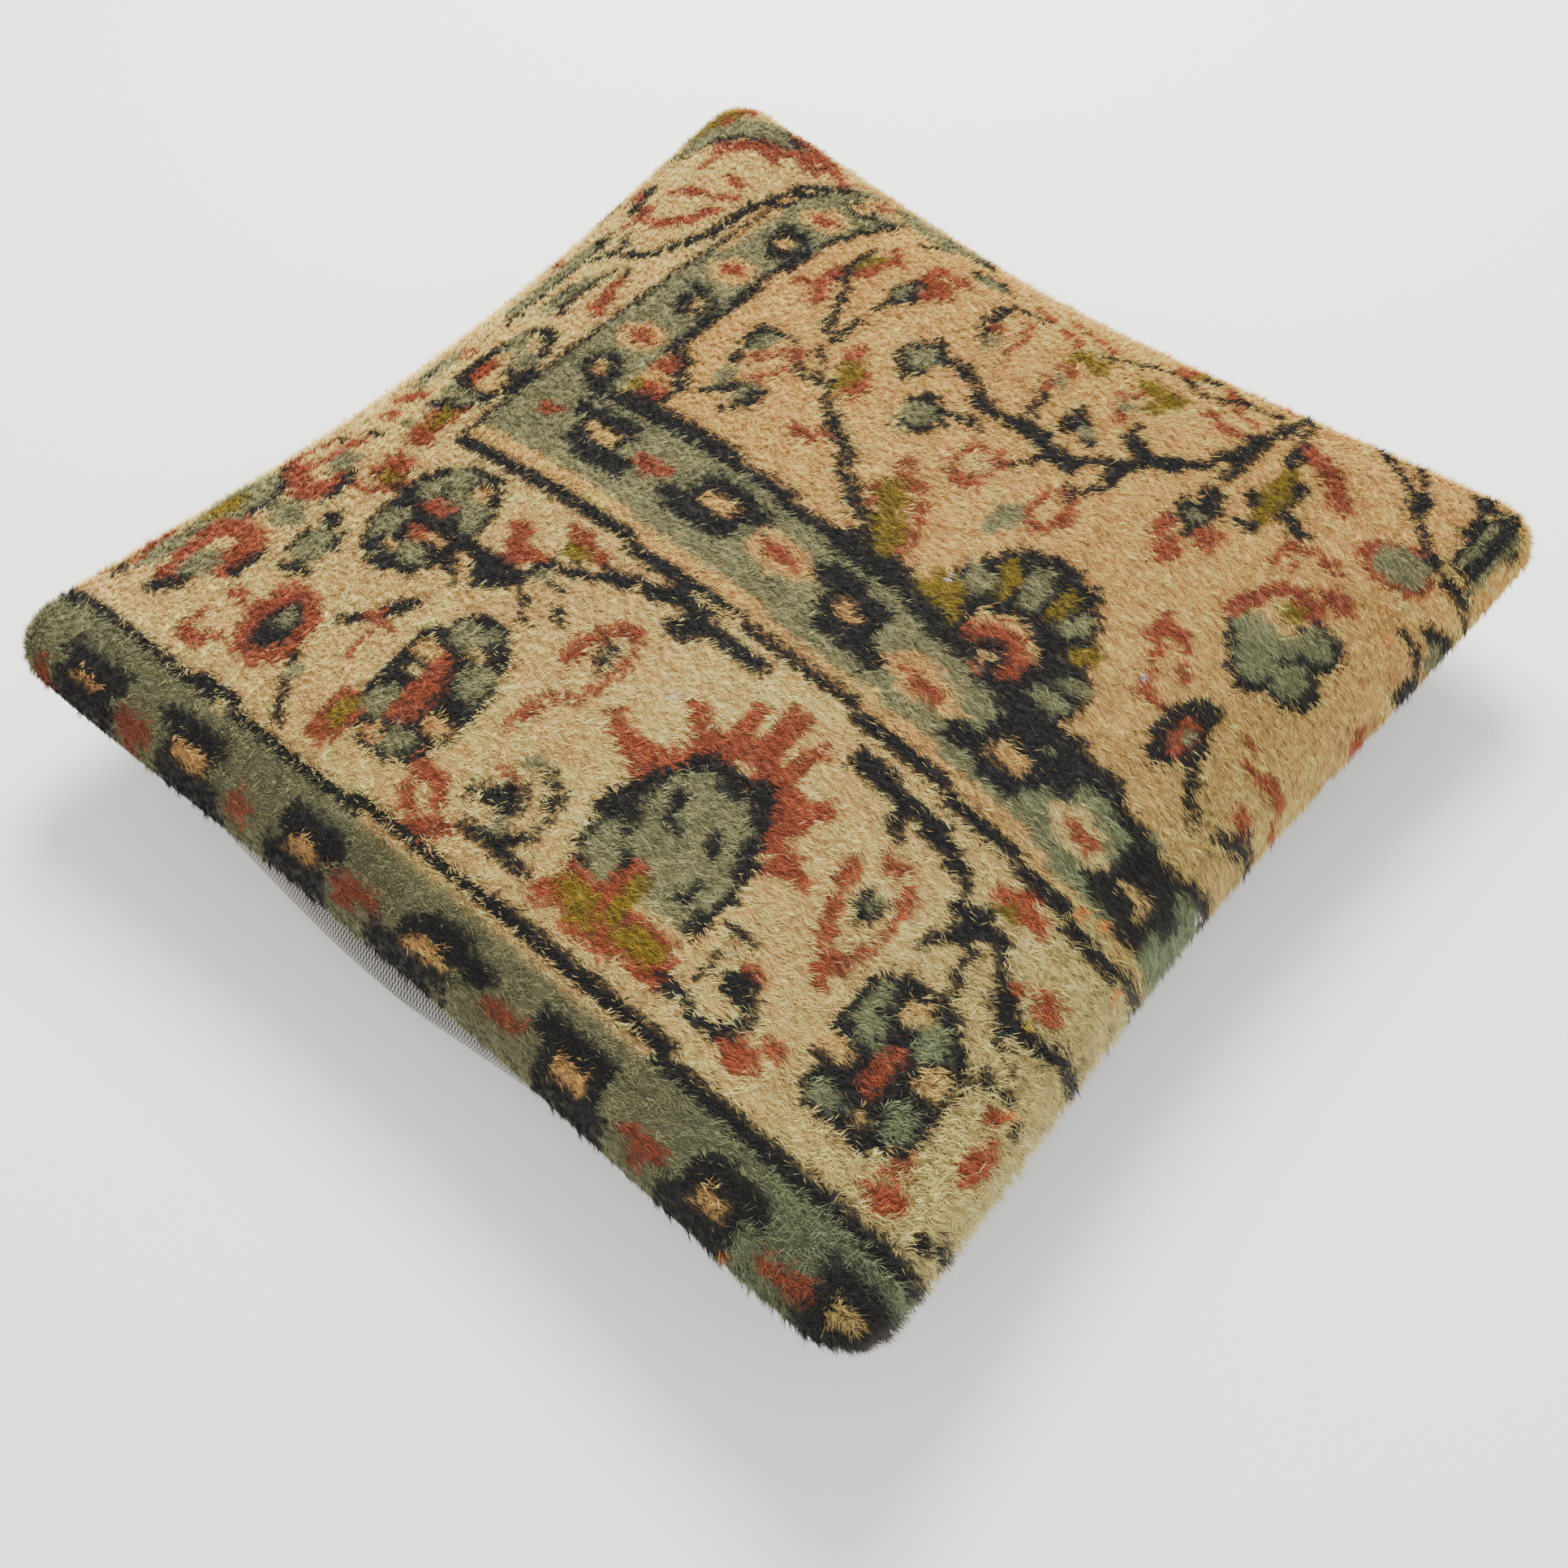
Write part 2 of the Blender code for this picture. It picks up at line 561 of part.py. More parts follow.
def build_insert():
    """The inner cushion: two cloth shells, their filling and the stitches that shut the filling slot."""
    us = grid_lines(INSERT_TOP_SKIN, BAND_LINES_X)
    vs = grid_lines(INSERT_TOP_SKIN, BAND_LINES_Y)
    cotton = material("insert_cotton", (0.85, 0.83, 0.78), 0.8)
    fibre = material("hollow_fibre", (0.92, 0.92, 0.90), 0.95)
    thread = material("closing_thread", (0.8, 0.78, 0.72), 0.7)
    add_object("insert_case_top", shell_mesh(INSERT_TOP_SKIN, us, vs, 0.0, CASE_CLOTH), cotton)
    add_object("insert_case_bottom", shell_mesh(INSERT_BASE_SKIN, us, vs, 0.0, CASE_CLOTH), cotton)
    skins = [skin_grid(skin, us, vs, CASE_CLOTH + GAP) for skin in (INSERT_TOP_SKIN, INSERT_BASE_SKIN)]
    add_object("insert_filling", closed_mesh(*skins), fibre)
    reach = CLOSING_STITCH_LENGTH / 2 / INSERT_TOP_SKIN.half
    path = []
    for i in range(CLOSING_PARTS + 1):
        v = reach * (2 * i / CLOSING_PARTS - 1)
        edge = INSERT_TOP_SKIN.plan(1, v)
        height = seam_height(1, v) - INSERT_SEAM_DROP
        path.append(Vector((edge.x + CLOSING_THREAD / 2 + GAP, edge.y, height)))
    add_tube("insert_closing_stitch", path, CLOSING_THREAD, thread, False)


def main():
    clear_scene()
    build_rug()
    build_seam_thread()
    build_back_panels()
    frame = add_empty("zip_frame", ZIP_FRAME)
    build_tapes(frame)
    build_stops(frame)
    build_topstitch(frame)
    build_pull_tab(build_slider(frame))
    build_insert()


main()
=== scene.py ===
"""Looks of a floor cushion: hand-knotted rug front, woven cotton back with a zip, and the insert inside.

Metres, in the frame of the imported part: X along the zip, +Y towards the zip's side, +Z up.
u and v run from -1 to +1 across the cushion. Knots are counted from the corner at -X -Y.
"""

import math

import bmesh
import bpy
import numpy as np
from mathutils import Matrix, Vector
from mathutils.kdtree import KDTree


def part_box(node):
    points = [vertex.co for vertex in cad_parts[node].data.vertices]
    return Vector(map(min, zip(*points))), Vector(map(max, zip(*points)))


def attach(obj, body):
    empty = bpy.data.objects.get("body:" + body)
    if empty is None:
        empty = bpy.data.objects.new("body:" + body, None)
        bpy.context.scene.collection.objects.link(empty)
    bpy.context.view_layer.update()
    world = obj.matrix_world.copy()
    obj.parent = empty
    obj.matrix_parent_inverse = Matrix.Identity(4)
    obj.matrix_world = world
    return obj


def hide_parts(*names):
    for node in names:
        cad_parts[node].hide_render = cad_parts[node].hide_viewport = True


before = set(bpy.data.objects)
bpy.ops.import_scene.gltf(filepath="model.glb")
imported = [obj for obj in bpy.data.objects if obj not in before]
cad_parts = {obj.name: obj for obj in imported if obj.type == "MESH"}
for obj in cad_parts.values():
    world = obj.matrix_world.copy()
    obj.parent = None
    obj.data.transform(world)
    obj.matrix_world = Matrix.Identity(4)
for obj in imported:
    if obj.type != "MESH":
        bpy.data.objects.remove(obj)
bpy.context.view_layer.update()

# Cover, as cut and sewn
HALF = 0.250
SEAM_HEIGHT = 0.056
CROWN_RISE = 0.068
CORNER_RADIUS = 0.028
PULL_LEFT, PULL_RIGHT = 0.020, 0.010      # how far the -X and +X sides curve in
PULL_NEAR, PULL_FAR = 0.007, 0.018        # how far the -Y and +Y sides curve in
PULL_SHAPE = 2.3
PACKED_PULL = 0.014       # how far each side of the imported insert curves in
INSERT_RIM = 0.212
PULL_DENT, DENT_PLACE, DENT_WIDTH = 0.006, -0.02, 0.34     # a deeper place in the +Y side
RUG_PINCH = 0.08
BULGE, BULGE_PLACE, BULGE_WIDTH = 0.012, -0.10, 0.42      # the belly pushes out below the -Y side
PLUMP, PLUMP_WIDTH = 0.006, 0.45            # the fuller corner where the -X and -Y sides meet
CORNER_LIFT = 0.012
LIFT_SHARPNESS = 1.8
CROWN_FULLNESS = 0.66
BELLY_FULLNESS = 0.32
CORNER_PINCH = 0.35
BELLY_OVERFILL = 1.25
STRAIGHT_SHARE = 8
SEAM_GAP = 0.0022
PILE_HEIGHT = 0.008
FOUNDATION = 0.0025
GAP = 0.0003
RUG_ROUND = 0.0153
BACK_INSET = PILE_HEIGHT + GAP
BACK_ROUND = 0.009
BACK_CLOTH = 0.0012

# Zip
ZIP_Y = 0.185
ZIP_HALF = 0.170
ZIP_HEIGHT = 0.008
ZIP_TILT = math.radians(8)
BAND_HALF = 0.0151
BAND_HALF_LENGTH = ZIP_HALF + 0.016
BAND_FADE = 0.018
LIP = 0.0052
OPENING_END = 0.004

# Pile
KNOTS = 128
TUFT = 5                  # strands along each side of a knot
BED_DEPTH = 0.0030        # from the tips down to the thick of the pile
ROW_BANDS = 10
STRAND_LENGTH = 0.0066
STRAND_RADIUS = 0.00027
ROOT_DEPTH = 0.0009       # how far the strands' roots lie below the top of the bed
LEAN = math.radians(58)   # from upright
SHOWS = 0.72              # share of the lean after which a strand shows at the surface
STRAND_TONE, CLUMP_TONE = 0.24, 0.20      # unevenness of the dye, strand by strand and clump by clump
# painted light: each strand's tip is lightened as a painted highlight, and its root and the bed between
# strands are darkened as painted shade
PAINTED_TIP_HIGHLIGHT, PAINTED_ROOT_SHADE, PAINTED_BED_SHADE = 1.32, 0.34, 0.42
CLUMPS = 4                # each knot's strands gather in so many clumps
CLUMP_PULL = 0.42         # how far the tips of a clump lean together
SIDE_START = 0.88         # from here to the rim the pile lies flatter
SIDE_FLATTER = 0.22
STRAY_SHARE = 0.16        # strands that lie over from a neighbouring knot
LINT_REACH = 0.5          # knots
WORN = np.array([0.16, 0.06, 0.04])       # colour lost where the pile is worn at the right
FRONT_EDGE_SHADE, FRONT_EDGE_SHADE_ROWS = 0.16, 10            # painted shade along the front (-Y) edge, where the pile faces away from the light, and how many rows of knots it reaches

# Meshes of the sheets: lines along X, then along Y
BED_LINES, FOUNDATION_LINES = 126, 80
PANEL_LINES, MAIN_LINES, STRIP_LINES = 170, 110, 24
SOFT_CUTS = 3

# Rows of stitches: pitch, length, thickness
SEAM_ROW = (0.0044, 0.0037, 0.0010)
TOP_ROW = (0.0032, 0.0027, 0.0007)
CLOSING_ROW = (0.0075, 0.0065, 0.0009)
SEAM_DEPTH = PILE_HEIGHT + GAP + 0.0006   # from the pile's side in to the seam's stitches
TOP_ROW_PLACE = LIP + 0.0028              # from the zip's middle to each row of topstitching

# Cloth settling
SETTLE_VOXEL, SETTLE_FRAMES, SETTLE_PRESSURE = 0.006, 20, 4
SETTLE_CAP = 0.008
SETTLE_LINES = 81
CREASE_CAP = 0.0025

CAMEL, IVORY, SAGE, NAVY, RUST, OLIVE = range(6)
YARNS = {
    CAMEL: (0.985, 0.735, 0.405),
    IVORY: (1.000, 0.795, 0.475),
    SAGE: (0.555, 0.545, 0.370),
    NAVY: (0.060, 0.068, 0.070),
    RUST: (0.625, 0.295, 0.160),
    OLIVE: (0.530, 0.440, 0.035),
}

LINT_ORANGE, LINT_WHITE, LINT_YELLOW = (0.93, 0.45, 0.12), (1.0, 0.97, 0.90), (0.95, 0.78, 0.20)
LINT = (                  # bits of stray yarn caught in the pile: place in knots, then colour
    (126.0, 113.0, LINT_ORANGE), (120.0, 98.5, LINT_ORANGE), (117.5, 49.8, LINT_ORANGE),
    (123.5, 45.8, LINT_ORANGE), (122.0, 29.0, LINT_ORANGE), (109.0, 1.5, LINT_ORANGE),
    (118.0, 37.0, LINT_YELLOW), (82.0, 69.5, LINT_WHITE), (115.0, 49.0, LINT_ORANGE),
    (126.0, 60.0, LINT_WHITE), (70.0, 40.0, LINT_WHITE), (104.0, 74.0, LINT_WHITE),
)


def linear(color):
    """An sRGB colour as linear light."""
    c = np.asarray(color, float)
    return np.where(c <= 0.04045, c / 12.92, ((c + 0.055) / 1.055) ** 2.4)


# ---------------------------------------------------------------- shape of the cover

def corner_place(u, v, half, corner):
    straight = half - corner
    over_x = np.maximum(np.abs(u) * half - straight, 0.0)
    over_y = np.maximum(np.abs(v) * half - straight, 0.0)
    round_x = over_x * np.sqrt(1 - over_y ** 2 / (2 * corner ** 2))
    round_y = over_y * np.sqrt(1 - over_x ** 2 / (2 * corner ** 2))
    return over_x, over_y, round_x, round_y


def plan(u, v, half=HALF, corner=CORNER_RADIUS):
    """Floor plan of the cover: a square with round corners whose sides curve in."""
    over_x, over_y, round_x, round_y = corner_place(u, v, half, corner)
    x = np.abs(u) * half - over_x + round_x
    y = np.abs(v) * half - over_y + round_y
    bow_x, bow_y = (np.maximum(1 - (a / half) ** 2, 0) ** PULL_SHAPE for a in (y, x))
    dent = PULL_DENT * np.exp(-((np.copysign(x, u) / half - DENT_PLACE) / DENT_WIDTH) ** 2)
    pull_x = np.where(u < 0, PULL_LEFT, PULL_RIGHT) * bow_x * (x / half) ** STRAIGHT_SHARE
    pull_y = np.where(v < 0, PULL_NEAR * bow_y, PULL_FAR * bow_y + dent) * (y / half) ** STRAIGHT_SHARE
    return np.copysign(x - pull_x, u), np.copysign(y - pull_y, v)


def rounded(u, v, half, corner, radius):
    """Height that the rounded edge has reached, from 0 at the seam to its radius."""
    _, _, round_x, round_y = corner_place(u, v, half, corner)
    inward = np.clip((corner - np.hypot(round_x, round_y)) / radius, 0, 1)
    return radius * np.sqrt(1 - (1 - inward) ** 2)


def seam_height(u, v):
    return SEAM_HEIGHT + CORNER_LIFT * np.abs(u * v) ** LIFT_SHARPNESS


def dome(u, v, fullness, pinch=CORNER_PINCH):
    return np.maximum((1 - u * u) * (1 - v * v), 0) ** (fullness + pinch * np.abs(u * v))


def rug_tips(u, v):
    """Where the pile's tips lie."""
    x, y = plan(u, v)
    full = CROWN_RISE - SEAM_GAP / 2 - RUG_ROUND
    edge = rounded(u, v, HALF, CORNER_RADIUS, RUG_ROUND)
    z = seam_height(u, v) + SEAM_GAP / 2 + edge + full * dome(u, v, CROWN_FULLNESS, RUG_PINCH)
    z = z + PLUMP * edge / RUG_ROUND * np.exp(-((u + 1) ** 2 + (v + 1) ** 2) / PLUMP_WIDTH ** 2)
    return np.stack([x, y, z], -1)


def fade(distance, width):
    t = np.clip(distance / width, 0, 1)
    return 1 - t * t * (3 - 2 * t)


def band_weight(x, y):
    """1 on the flat band that holds the zip, fading to 0 on the belly round it."""
    return fade(np.abs(y - ZIP_Y) - BAND_HALF, BAND_FADE) * fade(np.abs(x) - BAND_HALF_LENGTH, BAND_FADE)


def back_face(u, v):
    """The outer face of the back cloth."""
    half, corner = HALF - BACK_INSET, CORNER_RADIUS - BACK_INSET
    x, y = plan(u, v, half, corner)
    full = SEAM_HEIGHT * BELLY_OVERFILL - SEAM_GAP / 2 - BACK_ROUND
    edge = rounded(u, v, half, corner, BACK_ROUND)
    z = seam_height(u, v) - SEAM_GAP / 2 - edge - full * dome(u, v, BELLY_FULLNESS)
    z = np.maximum(z, 0.0)
    z += band_weight(x, y) * (ZIP_HEIGHT + (y - ZIP_Y) * math.tan(ZIP_TILT) - z)
    below = np.clip((seam_height(u, v) - z - 0.003) / 0.016, 0, 1)
    y = y - BULGE * np.exp(-((u - BULGE_PLACE) / BULGE_WIDTH) ** 2) * below * fade(v + 1, 0.35)
    return np.stack([x, y, z], -1)


def frame_at(face, u, v, out):
    """Unit vectors along u, along v and out of a face. out is +1 for the front and -1 for the back."""
    step = 1e-4
    reach = 1 - 2 * step
    u, v = np.clip(u, -reach, reach), np.clip(v, -reach, reach)
    along = face(u + step, v) - face(u - step, v)
    across = face(u, v + step) - face(u, v - step)
    normal = out * np.cross(along, across)
    unit = lambda a: a / np.maximum(np.linalg.norm(a, axis=-1, keepdims=True), 1e-12)
    return unit(along), unit(across), unit(normal)


def even(s, radius, half=HALF):
    """Place u for an even measure s along the cloth, which slows down where the edge turns over."""
    flat = 1 - radius / half
    share = (half - radius) / (half - radius + radius * math.pi / 2)
    over = np.clip((np.abs(s) - share) / (1 - share), 0, 1)
    inner = np.minimum(np.abs(s), share) / share * flat
    return np.copysign(inner + (1 - flat) * np.sin(over * math.pi / 2), s)


# ---------------------------------------------------------------- the knot chart

class Chart:
    """The rug's pattern, one yarn for each knot. Places and sizes are in knots, x along +X and y along +Y."""

    def __init__(self, ground):
        self.yarn = np.full((KNOTS, KNOTS), ground)
        self.x, self.y = np.meshgrid(np.arange(KNOTS) + 0.5, np.arange(KNOTS) + 0.5)

    def blob(self, yarn, x, y, width, height, turn=0):
        c, s = math.cos(math.radians(turn)), math.sin(math.radians(turn))
        dx, dy = self.x - x, self.y - y
        a, b = (dx * c + dy * s) / width * 2, (dy * c - dx * s) / height * 2
        self.yarn[a * a + b * b < 1.08] = yarn

    def ring(self, yarn, x, y, width, height, line=1.6, turn=0):
        c, s = math.cos(math.radians(turn)), math.sin(math.radians(turn))
        dx, dy = self.x - x, self.y - y
        a, b = (dx * c + dy * s), (dy * c - dx * s)
        outer = (2 * a / width) ** 2 + (2 * b / height) ** 2 < 1.08
        inner = (2 * a / max(width - 2 * line, 0.1)) ** 2 + (2 * b / max(height - 2 * line, 0.1)) ** 2 < 1.0
        self.yarn[outer & ~inner] = yarn

    def stroke(self, yarn, width, *points):
        for (x0, y0), (x1, y1) in zip(points, points[1:]):
            dx, dy = x1 - x0, y1 - y0
            t = np.clip(((self.x - x0) * dx + (self.y - y0) * dy) / max(dx * dx + dy * dy, 1e-9), 0, 1)
            near = np.hypot(self.x - x0 - t * dx, self.y - y0 - t * dy) < width / 2
            self.yarn[near] = yarn

    def area(self, yarn, *corners):
        inside = np.zeros(self.x.shape, bool)
        for (x0, y0), (x1, y1) in zip(corners, corners[1:] + corners[:1]):
            if y0 != y1:
                crosses = (self.y > min(y0, y1)) & (self.y <= max(y0, y1))
                inside ^= crosses & (self.x < x0 + (self.y - y0) * (x1 - x0) / (y1 - y0))
        self.yarn[inside] = yarn

    def bracket(self, x, y, slope, shift, middle=CAMEL):
        """Guard-band flower: a bar above and a bar below a pale bud, pushed past each other."""
        for way in (1, -1):
            left, right = -3.8 + way * shift, 3.8 + way * shift
            level = y + way * 2.3
            self.stroke(NAVY, 3.0, (x + left, level - slope * left), (x + right, level - slope * right))
            self.stroke(NAVY, 2.1, (x + way * 3.0, y + 1.4), (x + way * 2.8, y - 1.4))
        self.stroke(middle, 1.5, (x - 1.5, y + 1.5 * slope), (x + 1.5, y - 1.5 * slope))

    def bud(self, x, y, width, height, halo=None, turn=0):
        if halo is not None:
            self.blob(halo, x, y, width + 2.4, height + 2.6, turn)
        self.blob(RUST, x, y, width, height, turn)


def draw_grounds(c):
    """The camel field, the ivory main border and the sage guard bands with their navy lines."""
    c.area(IVORY, (0, 8), (128, 8), (128, 47), (104, 49), (64, 52), (25, 53), (25, 104), (22, 92), (13, 88),
           (0, 90))
    c.area(IVORY, (0, 88), (13, 88), (22, 92), (25, 110), (30, 120), (34, 128), (0, 128))
    c.area(SAGE, (0, 0), (128, 0), (128, 9), (0, 9))
    c.stroke(NAVY, 2.1, (0, 9.3), (8, 9.6), (16, 10.2), (32, 10.6), (38, 9.9), (46, 10.2), (56, 10.7),
             (70, 11.1), (84, 11.3), (94, 10.6), (106, 10.0), (116, 9.6), (128, 10.0))
    c.area(SAGE, (26, 55), (64, 54), (88, 52.5), (112, 49.5), (128, 48.5), (128, 59), (112, 60), (96, 62.5),
           (80, 66), (64, 67), (36, 67.5), (36.5, 105), (38.5, 113), (40, 122), (31, 122), (27.4, 112),
           (26.6, 104))
    c.stroke(CAMEL, 1.4, (27, 54.2), (48, 53.9), (64, 53.4), (88, 51.4), (100, 50.4), (110, 49.6))
    c.stroke(NAVY, 2.0, (25.5, 52.3), (32, 52.5), (48, 51.8), (64, 51.0), (72, 50.4), (80, 50.0),
             (96, 48.8), (104, 48.2), (112, 47.3), (118, 46.3), (124, 46.0), (128, 47.6))
    c.stroke(NAVY, 2.3, (33, 67.0), (40, 67.6), (52, 67.5), (58, 67.2), (64, 66.4), (72, 66.0))
    c.stroke(NAVY, 3.2, (72, 66.0), (80, 66.0), (86, 64.8), (92, 63.3), (98, 62.0), (104, 61.2),
             (112, 60.4))
    c.stroke(NAVY, 2.0, (112, 60.2), (118, 58.4), (123, 58.0), (128, 60.0))
    c.stroke(NAVY, 1.3, (25.5, 52), (25.6, 70), (25.3, 88), (25.2, 104), (26.6, 112), (30, 118.5))
    c.stroke(NAVY, 1.3, (36.2, 77), (36.0, 84), (35.8, 96), (36.4, 106), (38.4, 112), (39.4, 117.5))
    c.stroke(NAVY, 1.8, (16, 88.4), (19.5, 90.5), (21.5, 93.5), (22.6, 97), (23.0, 101), (22.8, 105),
             (24.2, 109.5), (25.4, 114))
    c.stroke(NAVY, 1.2, (25.4, 114), (28.5, 117), (31, 119.5))


def draw_guard_bands(c):
    """Small flowers and buds that alternate along both sage bands."""
    for x, y, wide in ((23, 1.6, 5.5), (39.5, 2.2, 4), (57.5, 2.8, 7), (79.5, 3.0, 6), (99.5, 2.8, 6),
                       (118.5, 2.2, 7)):
        c.bud(x, y, wide, 2.6, halo=SAGE, turn=8)
    c.bud(8, 0.8, 4, 1.6)
    for x, y, shift in ((15, 2.6, 0), (31.5, 3.0, -0.8), (49.5, 2.8, 0.4), (68.4, 2.8, 3.2),
                        (89, 3.0, -0.8), (108, 2.8, 1.0), (125, 2.8, 0)):
        c.bracket(x, y, 0.02, shift)
    for x, y, slope, shift in ((39.5, 61.2, 0.1, -1.4), (58, 60.9, 0.08, 1.6), (79.2, 58.7, 0.08, -1.8),
                               (101.8, 56.0, 0.14, 1.8), (121, 53.4, 0.2, 1)):
        c.bracket(x, y, slope, shift)
    c.bud(31, 61.2, 3.6, 2.2)
    c.bud(48.2, 60.8, 6.4, 2.6)
    c.stroke(RUST, 1.2, (48, 61.5), (48.4, 62.8))
    c.bud(68.3, 59.9, 6.0, 2.0, halo=CAMEL, turn=-4)
    c.bud(90.5, 57.2, 7.5, 2.0, halo=CAMEL, turn=-9)
    c.bud(112.4, 54.3, 6.0, 1.6, halo=IVORY, turn=-12)
    for x, y in ((31, 76.4), (30.8, 93.6), (32.6, 109.2), (35.5, 119.2)):
        c.bud(x, y, 4.2, 2.2, halo=CAMEL)
    for x, y, w, h in ((31.2, 69.8, 5.6, 5.6), (32.4, 85.4, 7.4, 5.8), (32.6, 102.0, 7.0, 6.8),
                       (34.0, 115.2, 5.4, 4.2)):
        c.ring(NAVY, x, y, w, h, 1.9)
        c.blob(CAMEL, x - 0.5, y, 2.6, 1.8, -30)
        c.stroke(SAGE, 1.0, (x - w / 2, y - h / 2 + 1.6), (x - w / 2 + 1.2, y - h / 2 + 0.6))
        c.stroke(SAGE, 1.0, (x + w / 2 - 1.4, y + h / 2 - 0.4), (x + w / 2, y + h / 2 - 1.8))
    c.stroke(NAVY, 1.6, (28.6, 88.6), (31.5, 88.2))
    c.stroke(NAVY, 1.8, (29.6, 105.4), (31.6, 104.4))
    c.stroke(NAVY, 2.2, (35.6, 77.6), (38.6, 76.2), (40.0, 73.6), (41.6, 72.2))
    c.stroke(NAVY, 1.4, (41.8, 71.5), (41.6, 69.0), (40, 68))
    c.blob(RUST, 37.5, 74.2, 2.6, 3.2)
    c.blob(RUST, 39.2, 70.2, 4.0, 3.2)
    c.blob(OLIVE, 36.7, 69.6, 1.8, 1.8)


def draw_field_left(c):
    """Field motifs beside the upright guard band."""
    c.blob(SAGE, 43.6, 85.0, 3.2, 5.6)
    c.stroke(NAVY, 1.3, (42.0, 87.8), (46.4, 87.8))
    c.stroke(NAVY, 1.3, (42.2, 87.2), (41.6, 84.4), (42.8, 82.0), (42.9, 79.6))
    c.blob(RUST, 48.0, 84.6, 3.2, 4.6, -20)
    c.blob(RUST, 45.4, 81.8, 2.0, 3.2)
    c.stroke(RUST, 1.4, (49.8, 83), (49.4, 80.4), (47.0, 78.4))
    c.blob(IVORY, 47.6, 82.4, 1.6, 2.2)
    c.blob(SAGE, 44.3, 77.2, 2.2, 3.4)
    c.blob(SAGE, 48.0, 75.8, 3.2, 4.4)
    c.stroke(NAVY, 1.5, (46.4, 76.5), (45.0, 74.4), (44.2, 73.6))
    c.stroke(NAVY, 1.4, (49.9, 77.8), (50.2, 75.0), (48.8, 72.8), (47.4, 72.6))
    c.stroke(NAVY, 1.9, (50.4, 82.8), (53.0, 82.6), (56.0, 83.4))
    c.blob(RUST, 53.9, 90.2, 2.4, 4.4)
    c.blob(RUST, 57.4, 86.2, 2.4, 5.2)
    c.blob(OLIVE, 55.8, 86.4, 3.0, 6.2, 12)
    c.stroke(RUST, 1.3, (58.2, 86.5), (58.0, 83.2), (56.8, 81.8))
    c.stroke(NAVY, 1.5, (42.0, 102.2), (44.2, 98.8), (46.0, 95.2), (47.8, 91.4))
    c.stroke(NAVY, 1.4, (50.0, 100.6), (49.4, 97.8), (50.0, 94.6), (50.2, 91.6), (49.4, 88.8), (52.6, 85.6))
    c.ring(NAVY, 50.4, 103.4, 4.4, 6.2, 1.3)
    c.blob(SAGE, 50.2, 103.6, 2.2, 3.8)
    c.stroke(NAVY, 1.3, (50.6, 106.8), (48.6, 104.6))
    c.blob(RUST, 50.0, 110.0, 2.4, 4.4)
    c.blob(RUST, 54.0, 110.6, 3.2, 3.6)
    c.blob(RUST, 53.4, 106.4, 4.4, 4.0)
    c.stroke(RUST, 1.6, (50.2, 107.6), (53.0, 108.4))
    c.stroke(NAVY, 1.2, (41.2, 108.2), (41.4, 104.2), (42.8, 101.8))
    c.blob(OLIVE, 43.2, 105.4, 2.0, 5.0)
    c.stroke(RUST, 1.6, (43.4, 110.6), (44.6, 108.2), (46.0, 107.8))
    c.stroke(RUST, 1.2, (44.2, 106.4), (44.0, 102.6))
    c.blob(RUST, 40.8, 101.2, 2.2, 2.6)
    c.stroke(RUST, 2.0, (40.6, 99.6), (41.6, 97.4), (43.2, 95.2))
    c.blob(RUST, 38.6, 97.4, 2.0, 1.8)
    c.stroke(NAVY, 1.8, (44.6, 121.0), (48.0, 120.6), (51.5, 119.6))
    c.blob(SAGE, 49.4, 121.2, 5.0, 2.8)
    c.stroke(NAVY, 1.6, (50.8, 121.8), (52.6, 118.8))
    c.stroke(NAVY, 1.7, (46.2, 117.6), (45.2, 114.4))
    c.blob(SAGE, 56.0, 114.6, 6.0, 2.6, 8)
    c.stroke(NAVY, 1.6, (53.4, 114.8), (57.0, 116.8), (58.8, 114.8))
    c.stroke(SAGE, 3.6, (38, 121), (43, 120), (47, 118.6))


